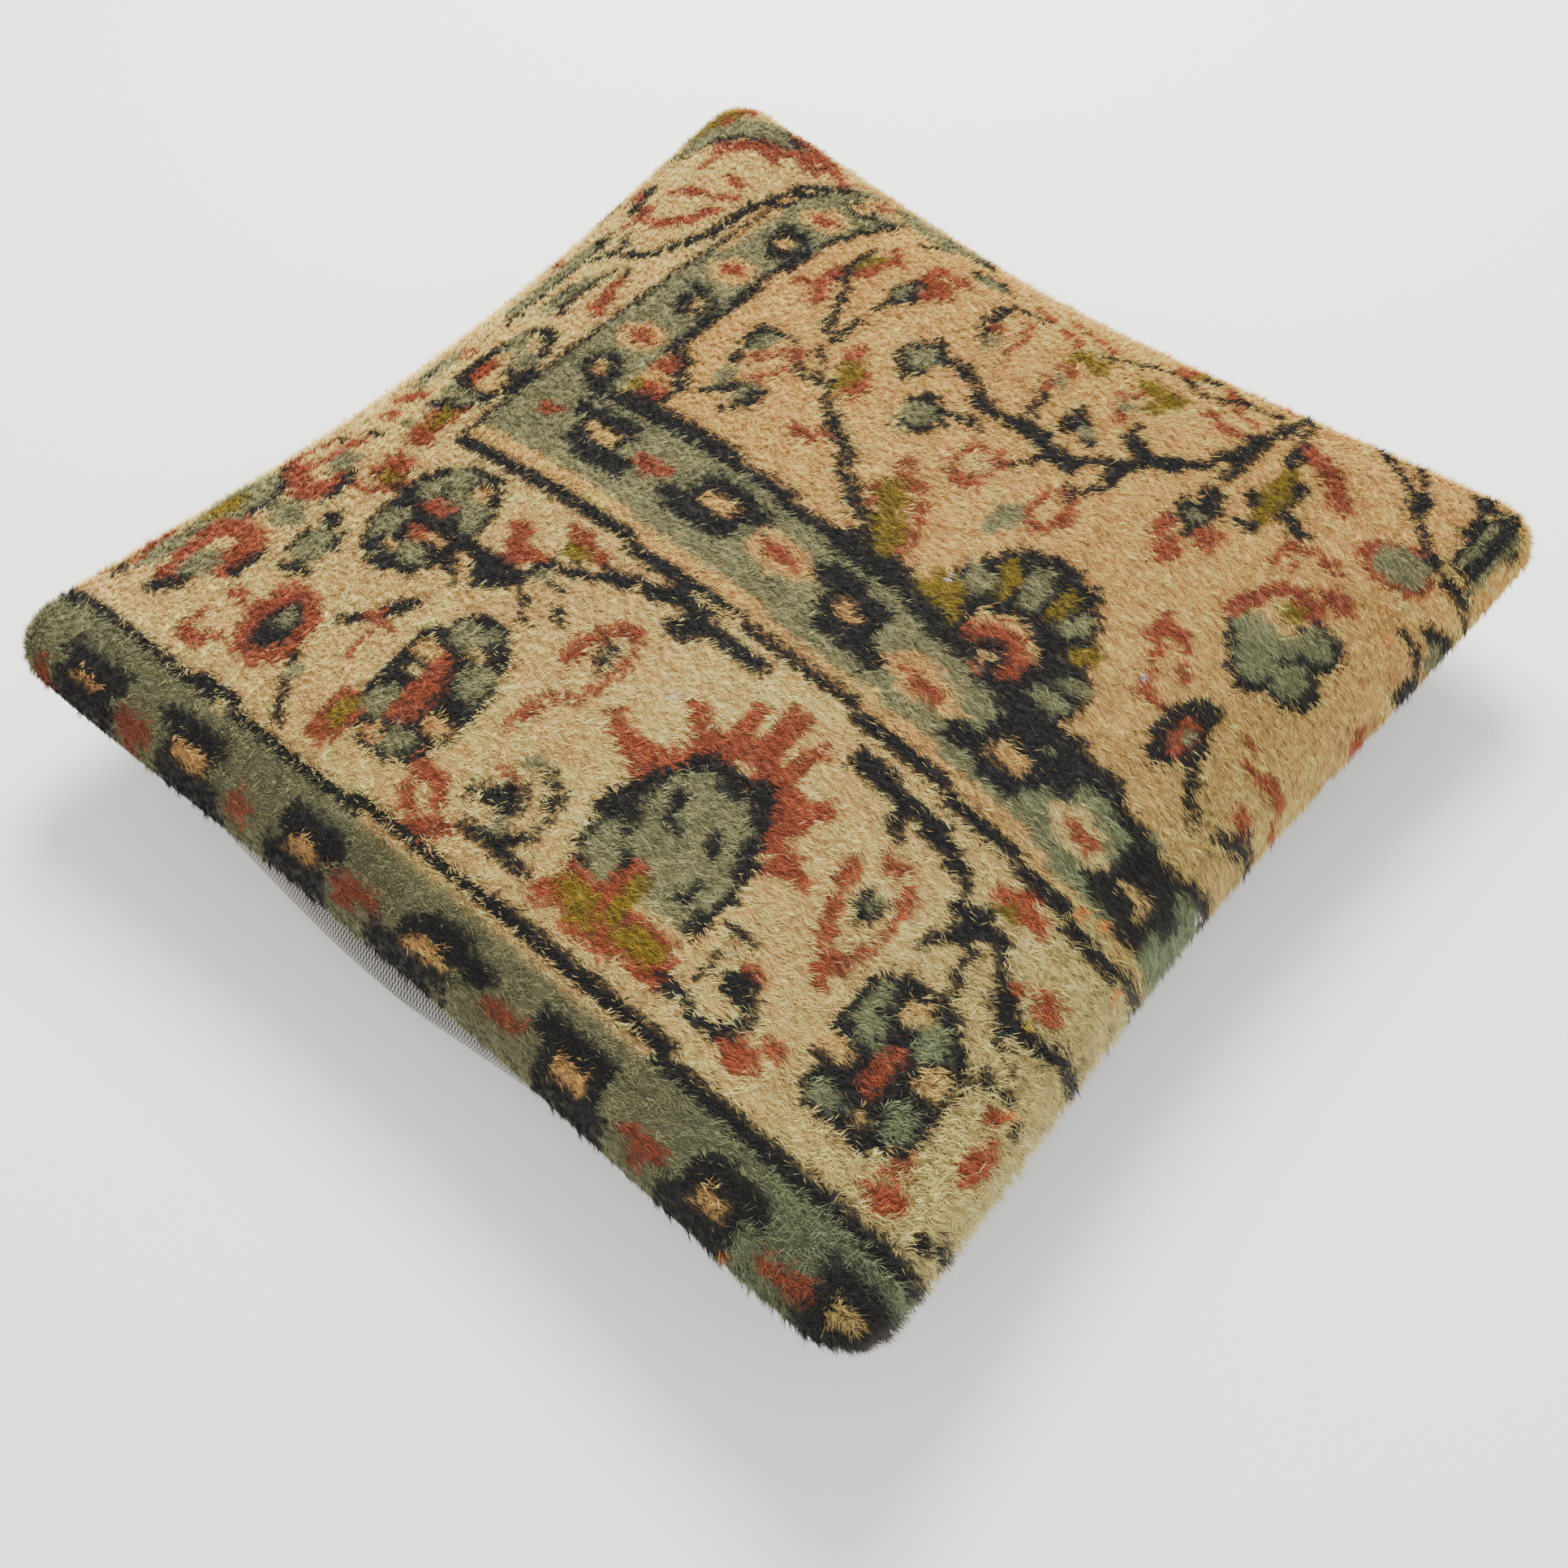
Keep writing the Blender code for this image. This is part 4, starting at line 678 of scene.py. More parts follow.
def draw_rosettes(c):
    """The two navy and sage rosettes on the left of the main border, and what grows from them."""
    c.area(NAVY, (27, 46.4), (29.4, 48), (31.4, 49.8), (33, 48), (34.6, 49.8), (37.6, 47), (39.4, 43.6),
           (38.6, 36), (36.6, 33.4), (32, 32.0), (28, 33.2), (26.0, 37), (25.8, 43))
    for x, y, w, h, yarn in ((31.0, 46.4, 4.4, 3.2, SAGE), (35.2, 46.0, 2.2, 1.9, CAMEL),
                             (29.0, 43.2, 3.2, 3.0, SAGE), (33.2, 44.2, 4.0, 2.0, SAGE),
                             (36.7, 43.2, 3.2, 3.8, SAGE), (28.6, 37.6, 3.4, 4.4, SAGE),
                             (34.4, 35.8, 4.4, 2.6, SAGE), (35.6, 38.6, 2.4, 1.8, CAMEL),
                             (31.0, 35.6, 1.8, 1.6, CAMEL), (30.4, 33.8, 1.8, 1.2, SAGE)):
        c.blob(yarn, x, y, w, h)
    c.blob(RUST, 32.4, 42.0, 4.2, 2.2)
    c.blob(RUST, 32.6, 38.4, 3.6, 2.0)
    c.stroke(NAVY, 1.4, (25.6, 41.2), (30.6, 40.2), (35.0, 40.0))
    c.stroke(NAVY, 2.4, (36.0, 40.2), (41.0, 40.2), (46.8, 39.6))
    c.stroke(NAVY, 1.6, (42.0, 38.6), (45.2, 37.8))
    c.blob(RUST, 42.4, 44.6, 3.6, 2.4)
    c.blob(RUST, 44.4, 42.6, 4.4, 3.2)
    c.blob(RUST, 46.6, 43.0, 2.4, 1.9)
    c.stroke(NAVY, 1.6, (47.8, 42.2), (50.0, 43.6), (52.6, 44.0), (55.0, 45.4))
    c.blob(SAGE, 49.6, 41.8, 2.6, 1.4)
    c.stroke(NAVY, 2.2, (55.0, 45.6), (57.6, 46.4), (60.4, 47.2), (63.6, 48.0))
    c.stroke(NAVY, 2.4, (63.6, 48.2), (69.0, 47.2), (75.8, 46.8))
    c.blob(NAVY, 66.4, 45.2, 4.2, 2.6)
    c.blob(RUST, 48.8, 48.4, 5.8, 3.6, -22)
    c.blob(RUST, 52.6, 46.8, 3.0, 2.2)
    c.blob(OLIVE, 50.2, 46.0, 4.2, 2.0)
    for x, y in ((52.0, 41.6), (54.4, 39.0), (49.8, 38.6), (51.4, 36.8), (40.8, 36.0), (43.0, 37.0),
                 (38.2, 37.8)):
        c.stroke(NAVY, 1.1, (x - 0.9, y + 0.3), (x + 0.9, y - 0.3))
    c.area(NAVY, (43.4, 29.4), (45.4, 32.6), (48.0, 35.0), (51.6, 35.2), (54.4, 32.4), (55.6, 29), (56, 22),
           (54.8, 18.6), (52, 16.2), (48, 15.8), (44.4, 17.4), (43.2, 21), (43.4, 25))
    for x, y, w, h, yarn in ((48.2, 31.6, 5.4, 3.4, SAGE), (53.2, 28.0, 4.4, 3.6, SAGE),
                             (45.6, 28.0, 2.6, 2.4, CAMEL), (51.4, 33.4, 2.0, 1.3, SAGE),
                             (45.7, 20.8, 3.4, 4.4, SAGE), (51.2, 18.8, 4.0, 2.8, SAGE),
                             (53.2, 22.0, 3.4, 2.6, CAMEL), (47.4, 17.8, 2.4, 1.4, CAMEL),
                             (46.2, 25.4, 2.6, 1.6, IVORY), (51.2, 30.4, 2.0, 1.4, CAMEL)):
        c.blob(yarn, x, y, w, h)
    c.stroke(RUST, 3.4, (48.2, 27.2), (49.0, 24.6), (48.8, 21.4))
    c.blob(RUST, 42.9, 16.4, 4.6, 7.4)
    c.blob(OLIVE, 43.2, 17.6, 2.2, 4.6)
    c.stroke(RUST, 2.0, (54.6, 18.2), (57.6, 18.2), (59.2, 16.8))
    c.stroke(RUST, 2.0, (55.6, 16.0), (56.8, 13.8), (60.0, 13.2), (62.2, 13.8))
    c.stroke(RUST, 1.2, (60.0, 15.8), (61.2, 14.2))
    c.stroke(RUST, 1.7, (63.6, 42.0), (60.8, 41.6), (59.4, 38.8), (58.8, 35.4))
    c.stroke(RUST, 1.4, (64.4, 41.0), (65.2, 37.6), (63.8, 34.4))
    c.blob(NAVY, 62.2, 38.2, 1.9, 3.6)
    c.blob(SAGE, 62.2, 38.4, 1.0, 1.8)
    c.stroke(RUST, 1.5, (63.4, 33.2), (60.4, 31.0), (59.4, 26.6))
    c.stroke(NAVY, 1.8, (61.6, 19.2), (63.4, 20.4))
    c.blob(NAVY, 65.8, 20.8, 4.6, 4.0)
    c.blob(RUST, 63.8, 22.6, 3.2, 1.7)
    c.stroke(NAVY, 1.4, (67.0, 25.0), (69.4, 24.4), (70.6, 21.6), (70.4, 19.0), (69.0, 17.4))
    c.blob(SAGE, 65.2, 25.2, 3.4, 1.6)
    c.blob(SAGE, 67.4, 18.0, 2.4, 1.6)
    c.stroke(NAVY, 1.9, (63.6, 16.4), (67.0, 15.6), (72.6, 15.9))


def draw_main_rosette(c):
    """The largest flower of the border: sage heart, rust crown and an olive foot."""
    c.stroke(RUST, 2.7, (68.8, 33.2), (72.6, 32.4), (76.0, 33.2))
    c.stroke(RUST, 2.7, (74.6, 31.0), (76.8, 34.0), (78.4, 36.8))
    c.stroke(RUST, 2.5, (74.4, 39.6), (76.6, 37.2), (79.4, 37.8))
    c.stroke(RUST, 2.0, (79.8, 43.4), (80.6, 39.2))
    c.stroke(RUST, 2.6, (83.4, 45.2), (83.6, 39.4))
    c.stroke(RUST, 1.9, (87.6, 43.6), (87.0, 39.0))
    c.stroke(RUST, 2.9, (77.2, 37.4), (82.0, 39.2), (87.0, 38.6), (90.4, 36.2))
    c.stroke(RUST, 2.3, (91.8, 39.2), (90.0, 36.0))
    c.stroke(RUST, 2.5, (88.8, 34.4), (92.4, 32.6), (95.0, 32.0))
    c.stroke(RUST, 1.5, (91.2, 31.2), (90.4, 29.2))
    c.area(NAVY, (73.6, 22), (73.4, 27.6), (75.2, 31.4), (77.4, 34.6), (80.0, 37.6), (83.0, 36.6),
           (86.6, 38.0), (88.8, 35.0), (90.8, 30.6), (91.6, 26.6), (90.4, 21), (76, 20))
    c.area(SAGE, (75.6, 20.6), (75.0, 24.4), (76.6, 27.4), (77.6, 31.6), (79.8, 34.8), (82.6, 35.2),
           (86.0, 35.0), (87.4, 33.0), (88.8, 29.6), (90.2, 26.6), (88.8, 21.4), (82, 20))
    c.blob(NAVY, 83.2, 34.4, 2.6, 1.7)
    c.stroke(NAVY, 1.5, (80.0, 31.0), (80.6, 29.2), (82.0, 28.2))
    c.stroke(NAVY, 1.3, (85.4, 30.2), (86.8, 28.4))
    c.stroke(NAVY, 1.5, (76.8, 27.2), (78.4, 25.2))
    c.stroke(NAVY, 1.2, (78.6, 23.8), (80.2, 23.0))
    c.stroke(NAVY, 1.2, (87.8, 25.6), (86.8, 23.4))
    c.area(RUST, (73.6, 14.0), (75.4, 19.6), (80.0, 20.4), (81.4, 23.8), (83.2, 23.8), (84.6, 20.2),
           (90.2, 20.0), (91.4, 16.4), (91.0, 14.2), (86, 14.6), (80.6, 13.0), (78, 15.0))
    c.blob(OLIVE, 78.4, 17.6, 5.6, 3.0)
    c.blob(OLIVE, 80.8, 15.6, 3.4, 2.0)
    c.stroke(OLIVE, 2.0, (82.6, 22.4), (82.9, 18.2))
    c.blob(OLIVE, 86.8, 17.4, 6.4, 3.2, 16)
    c.stroke(NAVY, 1.3, (92.6, 24.4), (95.8, 24.8))
    c.stroke(NAVY, 1.4, (93.4, 21.8), (93.2, 19.0))
    c.blob(NAVY, 97.6, 20.4, 4.6, 3.2)
    c.blob(RUST, 97.6, 22.6, 3.4, 1.5)
    c.blob(SAGE, 94.6, 22.4, 1.6, 1.6)
    c.stroke(NAVY, 2.0, (91.4, 16.4), (95.0, 15.4), (98.4, 15.2), (100.2, 18.0))
    c.blob(RUST, 101.6, 14.6, 4.6, 2.8)
    c.blob(RUST, 103.6, 18.0, 2.8, 2.8)
    c.blob(RUST, 101.0, 39.4, 4.4, 2.0)
    c.stroke(RUST, 1.5, (97.6, 37.4), (98.2, 34.6), (99.2, 31.4), (101.0, 28.4), (103.0, 25.4))
    c.stroke(RUST, 1.4, (103.4, 38.6), (104.6, 35.0), (104.2, 31.0), (102.8, 27.6))
    c.blob(NAVY, 101.5, 34.4, 2.4, 4.0)
    c.blob(SAGE, 101.4, 34.8, 1.1, 1.8)


def draw_right_border(c):
    """Stems, buds and the last rosette at the right end of the main border."""
    c.stroke(NAVY, 2.5, (90.8, 45.4), (95.0, 45.4), (99.0, 44.9), (103.6, 44.2))
    c.stroke(NAVY, 2.0, (104.4, 43.4), (107.2, 42.4))
    c.stroke(NAVY, 1.5, (97.8, 43.2), (99.4, 41.4))
    c.stroke(NAVY, 2.2, (108.0, 40.2), (111.2, 40.6), (113.6, 40.2))
    c.stroke(NAVY, 2.4, (110.4, 39.0), (111.4, 37.8))
    c.stroke(NAVY, 1.2, (109.6, 37.4), (107.8, 34.2))
    c.stroke(NAVY, 1.4, (112.2, 37.0), (112.8, 35.0), (113.6, 33.4), (113.2, 31.0))
    c.stroke(NAVY, 1.6, (114.6, 39.0), (116.4, 37.4))
    c.stroke(NAVY, 2.2, (117.0, 35.6), (122.0, 35.0), (128, 36.2))
    c.stroke(NAVY, 1.5, (118.8, 34.0), (120.0, 32.6))
    c.stroke(RUST, 2.0, (110.8, 43.6), (112.6, 44.8), (115.8, 43.6))
    c.blob(OLIVE, 112.5, 42.6, 3.6, 1.9)
    c.blob(RUST, 121.6, 38.6, 4.2, 2.8)
    c.blob(RUST, 118.0, 37.6, 1.8, 1.4)
    c.area(NAVY, (105.8, 24.4), (106.4, 29.8), (109.4, 31.8), (115.6, 31.6), (119.2, 29.0), (120.2, 25.0),
           (119.6, 18.4), (115.8, 14.6), (109.8, 14.8), (106.6, 18.2))
    for x, y, w, h, yarn in ((108.6, 27.2, 4.0, 4.8, SAGE), (112.6, 29.2, 3.4, 2.6, CAMEL),
                             (115.2, 28.2, 3.4, 3.6, SAGE), (117.6, 25.4, 2.8, 3.0, CAMEL),
                             (108.0, 22.2, 4.4, 1.9, CAMEL), (110.6, 17.4, 4.0, 3.2, SAGE),
                             (114.4, 17.8, 2.0, 2.2, CAMEL), (117.2, 20.4, 3.2, 4.0, SAGE),
                             (110.4, 24.8, 2.8, 1.4, SAGE), (107.4, 19.4, 2.0, 1.8, IVORY)):
        c.blob(yarn, x, y, w, h)
    c.blob(NAVY, 109.9, 27.4, 1.7, 1.8)
    c.blob(RUST, 113.1, 23.0, 2.4, 5.4)
    c.blob(OLIVE, 113.0, 22.8, 1.0, 2.0)
    c.blob(RUST, 120.7, 13.6, 4.4, 3.2)
    c.stroke(RUST, 1.5, (120.4, 18.4), (119.8, 16.0))
    c.blob(RUST, 125.6, 22.8, 2.6, 5.4)
    c.blob(RUST, 124.0, 27.2, 2.0, 1.6)
    for x, y in ((122.4, 31.2), (124.2, 29.6), (126.6, 28.0), (121.0, 29.0)):
        c.blob(NAVY, x, y, 1.7, 1.3)
    c.stroke(NAVY, 1.7, (125.6, 12.6), (127.8, 14.4))


def knot_chart():
    c = Chart(CAMEL)
    draw_grounds(c)
    draw_guard_bands(c)
    draw_field_left(c)
    draw_field_middle(c)
    draw_half_palmette(c)
    draw_field_right(c)
    draw_far_corner(c)
    draw_upright_border(c)
    draw_left_leaves(c)
    draw_rosettes(c)
    draw_main_rosette(c)
    draw_right_border(c)
    return c.yarn


# ---------------------------------------------------------------- pile

def fit(s, radius, t):
    return even(s, radius), even(t, radius)


def smooth_noise(rng, cells, size):
    """A square of soft random values from -1 to 1."""
    coarse = rng.uniform(-1, 1, (cells + 3, cells + 3))
    at = np.linspace(0, cells, size)
    i = at.astype(int)
    f = at - i
    f = f * f * (3 - 2 * f)
    rows = coarse[i] * (1 - f)[:, None] + coarse[i + 1] * f[:, None]
    return rows[:, i] * (1 - f) + rows[:, i + 1] * f


def knot_colors(rng):
    """Linear colour of each knot, with the dye's unevenness from row to row, the wear at the right and
    painted shade along the front edge.
    """
    yarn = knot_chart()
    palette = np.array([YARNS[k] for k in range(len(YARNS))])
    color = palette[yarn]
    abrash = 1 + 0.035 * smooth_noise(rng, 18, KNOTS) + 0.03 * smooth_noise(rng, 40, KNOTS)
    color = color * (abrash * rng.normal(1, 0.055, (KNOTS, KNOTS)))[..., None]
    across, up = np.meshgrid(np.linspace(0, 1, KNOTS), np.linspace(0, 1, KNOTS))
    worn = np.clip((across - 0.72) / 0.25, 0, 1) * np.clip((0.85 - up) / 0.3, 0, 1)
    pale = (yarn == IVORY) | (yarn == CAMEL) | (yarn == SAGE)
    color = color * (1 - (worn * pale)[..., None] * WORN)
    # painted shade: the rows of knots along the front (-Y) edge are darkened for the side that faces away
    # from the light
    color = color * (1 - FRONT_EDGE_SHADE * np.clip((FRONT_EDGE_SHADE_ROWS - up * KNOTS) / 4, 0, 1))[..., None]
    return linear(np.clip(color, 0, 1))


def lean_angle(x, y):
    """Direction on the floor plan in which the pile lies, in radians from +X. x and y are in knots."""
    turn = np.interp(y, (0, 14, 34, 60, 92, 128), (24, 16, 6, -5, -16, -40))
    turn = turn - 30 * np.clip((x - 84) / 40, 0, 1) * np.clip((y - 30) / 40, 0, 1)
    turn = turn - 10 * np.clip((x - 60) / 50, 0, 1)
    return np.radians(turn)


def lying(along, normal, angle):
    """Unit vector in the surface at that angle from along."""
    level = np.cross(normal, along)
    level /= np.maximum(np.linalg.norm(level, axis=-1, keepdims=True), 1e-12)
    return np.cos(angle)[..., None] * along + np.sin(angle)[..., None] * level


def chart_knots(x):
    """Chart column or row of a place counted in knots along the cloth: the chart is as seen from above."""
    over = even(np.clip(x / KNOTS * 2 - 1, -1, 1), RUG_ROUND)
    return np.clip(((over + 1) / 2 * KNOTS).astype(int), 0, KNOTS - 1)


def shown_colors(colors, share):
    """Colour of each knot, taken from that share of a strand's reach beyond its root."""
    x, y = np.meshgrid(np.arange(KNOTS) + 0.5, np.arange(KNOTS) + 0.5)
    angle = lean_angle(x, y)
    reach = share * STRAND_LENGTH * math.sin(LEAN) / (2 * HALF / KNOTS)
    return colors[chart_knots(y + reach * np.sin(angle)), chart_knots(x + reach * np.cos(angle))]


def strand_shape():
    """One strand along +Z, closed, as arrays of points and triangles."""
    bm = bmesh.new()
    bmesh.ops.create_cone(bm, cap_ends=True, segments=3, radius1=1, radius2=0, depth=1)
    bmesh.ops.remove_doubles(bm, verts=bm.verts, dist=1e-4)
    bmesh.ops.translate(bm, verts=bm.verts, vec=(0, 0, 0.5))
    bmesh.ops.recalc_face_normals(bm, faces=bm.faces)
    bmesh.ops.triangulate(bm, faces=bm.faces)
    bm.verts.ensure_lookup_table()
    points = np.array([v.co for v in bm.verts])
    faces = np.array([[v.index for v in f.verts] for f in bm.faces])
    bm.free()
    return points, faces


def bulk_mesh(name, points, faces):
    mesh = bpy.data.meshes.new(name)
    mesh.vertices.add(len(points))
    mesh.vertices.foreach_set("co", points.astype(np.float32).ravel())
    mesh.loops.add(faces.size)
    mesh.loops.foreach_set("vertex_index", faces.astype(np.int32).ravel())
    mesh.polygons.add(len(faces))
    mesh.polygons.foreach_set("loop_start", np.arange(0, faces.size, 3, dtype=np.int32))
    mesh.update(calc_edges=True)
    mesh.polygons.foreach_set("use_smooth", np.ones(len(faces), bool))
    obj = bpy.data.objects.new(name, mesh)
    bpy.context.scene.collection.objects.link(obj)
    return obj


def paint(obj, colors):
    """Gives each point of a mesh its own colour: dye and painted light and shade together."""
    layer = obj.data.color_attributes.new("dye_and_shade", "FLOAT_COLOR", "POINT")
    rgba = np.concatenate([colors, np.ones((len(colors), 1))], 1)
    layer.data.foreach_set("color", rgba.astype(np.float32).ravel())


def build_pile(colors, relief):
    """The knotted pile: short tapering strands that lie over in one direction, in bands of knot rows."""
    rng = np.random.default_rng(11)
    shown = shown_colors(colors, SHOWS)
    template, faces = strand_shape()
    per_knot = TUFT * TUFT
    k = np.arange(per_knot)
    cell_x, cell_y = (k % TUFT) / TUFT, (k // TUFT) / TUFT
    clump = (cell_x >= 0.5).astype(int) + 2 * (cell_y >= 0.5)
    bands = np.array_split(np.arange(KNOTS), ROW_BANDS)
    pile = []
    for n, rows in enumerate(bands):
        j, i = np.meshgrid(rows, np.arange(KNOTS), indexing="ij")
        shape = j.shape + (per_knot,)
        x = i[..., None] + cell_x + rng.uniform(0, 1 / TUFT, shape)
        y = j[..., None] + cell_y + rng.uniform(0, 1 / TUFT, shape)
        u, v = fit(x / KNOTS * 2 - 1, RUG_ROUND, y / KNOTS * 2 - 1)
        along, _, normal = frame_at(rug_tips, u, v, 1)
        swell = relief(u, v, 1)[..., None]
        root = rug_tips(u, v) + normal * (swell - BED_DEPTH - ROOT_DEPTH)

        by_clump = shape[:2] + (CLUMPS,)
        whorl, tuft_tone = (rng.normal(0, 1, by_clump)[..., clump] for _ in range(2))
        curly = np.clip((x - 100) / 20, 0, 1) * np.clip((50 - y) / 20, 0, 1)
        angle = lean_angle(x, y) + whorl * (0.30 + 0.35 * curly) + rng.normal(0, 0.30, shape) * (1 + curly)
        upright = LEAN * (1 - 0.2 * curly) + rng.normal(0, 0.13, by_clump)[..., clump]
        upright = upright + rng.normal(0, 0.16, shape)
        side_on = np.maximum(np.abs(x / KNOTS * 2 - 1), np.abs(y / KNOTS * 2 - 1))
        upright = upright + SIDE_FLATTER * np.clip((side_on - SIDE_START) / 0.08, 0, 1)
        upright = np.clip(upright, 0.35, 1.40)
        side = lying(along, normal, angle)
        heading = side * np.sin(upright)[..., None] + normal * np.cos(upright)[..., None]
        length = STRAND_LENGTH * rng.normal(1, 0.10, shape)
        length = length * (1 + 0.07 * rng.normal(0, 1, by_clump)[..., clump])
        tip = root + heading * length[..., None]
        for c in range(CLUMPS):
            mine = clump == c
            together = tip[..., mine, :].mean(-2, keepdims=True)
            tip[..., mine, :] = tip[..., mine, :] * (1 - CLUMP_PULL) + together * CLUMP_PULL

        axis = tip - root
        size = np.linalg.norm(axis, axis=-1, keepdims=True)
        axis = axis / size
        wide = np.cross(axis, normal)
        wide /= np.linalg.norm(wide, axis=-1, keepdims=True)
        deep = np.cross(axis, wide)
        radius = STRAND_RADIUS * rng.uniform(0.75, 1.25, shape)[..., None]
        points = [root + wide * p[0] * radius + deep * p[1] * radius + axis * size * p[2] for p in template]
        points = np.stack(points, -2).reshape(-1, 3)
        points[:, 2] = np.maximum(points[:, 2], 0.0005)
        count = j.size * per_knot
        all_faces = (faces[None] + (np.arange(count) * len(template))[:, None, None]).reshape(-1, 3)

        obj = bulk_mesh(f"pile_rows_{n + 1:02d}", points, all_faces)
        tone = rng.normal(1, STRAND_TONE, shape)[..., None] * (1 + CLUMP_TONE * tuft_tone[..., None])
        stray = rng.uniform(0, 1, shape) < STRAY_SHARE
        aside, ahead = (rng.integers(-1, 2, shape) * stray for _ in range(2))
        from_row, from_column = (np.clip(k[..., None] + d, 0, KNOTS - 1) for k, d in ((j, ahead), (i, aside)))
        dye_and_shade = shown[from_row, from_column] * np.clip(tone, 0.3, 2.0)
        for lint_x, lint_y, lint_color in LINT:
            dye_and_shade[np.hypot(x - lint_x, y - lint_y) < LINT_REACH] = linear(lint_color)
        # painted highlight at each strand's tip, painted shade at its root
        shade = np.where(template[:, 2] > 0.5, PAINTED_TIP_HIGHLIGHT, PAINTED_ROOT_SHADE)
        paint(obj, np.clip(dye_and_shade[..., None, :] * shade[:, None], 0, 1).reshape(-1, 3))

        cells = math.ceil(math.sqrt(count))
        at = np.arange(count)
        corner = np.stack([at % cells, at // cells], -1)
        foot = [(0.5 + 0.4 * p[0], 0.22 + 0.14 * p[1]) for p in template]
        places = np.array([(0.5, 0.9) if p[2] > 0.5 else at_foot for p, at_foot in zip(template, foot)])
        spread = (corner[:, None] + places[None]) / cells
        own = spread.reshape(-1, 2)[all_faces.ravel()]
        obj.data.uv_layers.new(name="OFBake").data.foreach_set("uv", own.astype(np.float32).ravel())
        pile.append(obj)
    return pile


# ---------------------------------------------------------------- cloth sheets

def grid_mesh(name, columns, rows, place, thickness, smooth=True):
    """A sheet of cloth from a flat grid. place(s, t) gives its outer face, thickness goes inwards."""
    bm = bmesh.new()
    bmesh.ops.create_grid(bm, x_segments=columns, y_segments=rows, size=1)
    layer = bm.loops.layers.uv.new("cloth")
    for face in bm.faces:
        for loop in face.loops:
            loop[layer].uv = (loop.vert.co.x * HALF, loop.vert.co.y * HALF)
    flat = np.array([v.co for v in bm.verts])
    placed = place(flat[:, 0], flat[:, 1])
    for vert, point in zip(bm.verts, placed):
        vert.co = point
    bm.normal_update()
    outward = sum(f.normal.z * f.calc_area() for f in bm.faces)
    if placed[:, 2].mean() < SEAM_HEIGHT and outward > 0 or placed[:, 2].mean() > SEAM_HEIGHT and outward < 0:
        bmesh.ops.reverse_faces(bm, faces=bm.faces)
    bm.normal_update()
    if thickness:
        bmesh.ops.solidify(bm, geom=bm.verts[:] + bm.edges[:] + bm.faces[:], thickness=thickness)
    bmesh.ops.recalc_face_normals(bm, faces=bm.faces)
    mesh = bpy.data.meshes.new(name)
    bm.to_mesh(mesh)
    bm.free()
    for polygon in mesh.polygons:
        polygon.use_smooth = smooth
    obj = bpy.data.objects.new(name, mesh)
    bpy.context.scene.collection.objects.link(obj)
    return obj


def face_place(face, radius, depth, out, relief):
    def place(s, t):
        u, v = fit(s, radius, t)
        normal = frame_at(face, u, v, out)[2]
        points = face(u, v) + normal * (relief(u, v, out) - depth)[..., None]
        points[:, 2] = np.maximum(points[:, 2], 0)
        return points
    return place


def build_bed(colors, relief):
    """The thick of the pile under the strands' tips, down to the foundation."""
    place = face_place(rug_tips, RUG_ROUND, BED_DEPTH, 1, relief)
    bed = grid_mesh("pile_bed", BED_LINES, BED_LINES, place, PILE_HEIGHT - BED_DEPTH - GAP)
    loops = len(bed.data.loops)
    corner, spread = np.empty(loops, np.int32), np.empty(loops * 2, np.float32)
    bed.data.loops.foreach_get("vertex_index", corner)
    bed.data.uv_layers["cloth"].data.foreach_get("uv", spread)
    place = np.zeros((len(bed.data.vertices), 2))
    place[corner] = spread.reshape(-1, 2) / HALF
    i, j = (np.clip(((place[:, k] + 1) / 2 * KNOTS).astype(int), 0, KNOTS - 1) for k in (0, 1))
    # painted shade: the bed seen in the gaps between strands is darkened
    paint(bed, shown_colors(colors, SHOWS / 2)[j, i] * PAINTED_BED_SHADE)
    return bed


def build_foundation(relief):
    depth = PILE_HEIGHT + GAP
    place = face_place(rug_tips, RUG_ROUND, depth, 1, relief)
    return grid_mesh("foundation_weave", FOUNDATION_LINES, FOUNDATION_LINES, place, FOUNDATION)


def slit_line(u, side):
    """Place v of the panel's edge at the zip, for each u."""
    reach = ZIP_HALF + OPENING_END
    low, high = np.zeros_like(u), np.ones_like(u)
    half, corner = HALF - BACK_INSET, CORNER_RADIUS - BACK_INSET
    for _ in range(40):
        v = (low + high) / 2
        x, y = plan(u, v, half, corner)
        open_part = 1 - fade(reach + 0.001 - np.abs(x), 0.002)
        goal = ZIP_Y + side * (GAP / 2 + (LIP * math.cos(ZIP_TILT) - GAP / 2) * open_part)
        low, high = np.where(y < goal, v, low), np.where(y < goal, high, v)
    return (low + high) / 2


def build_back_panel(name, side, rows, relief):
    def place(s, t):
        u = even(s, BACK_ROUND)
        edge = slit_line(u, side)
        v = even(t, BACK_ROUND)
        v = -1 + (v + 1) / 2 * (edge + 1) if side < 0 else 1 - (1 - v) / 2 * (1 - edge)
        normal = frame_at(back_face, u, v, -1)[2]
        points = back_face(u, v) + normal * relief(u, v, -1)[..., None]
        points[:, 2] = np.maximum(points[:, 2], 0)
        return points
    return grid_mesh(name, PANEL_LINES, rows, place, BACK_CLOTH)


# ---------------------------------------------------------------- stitches, zip and insert

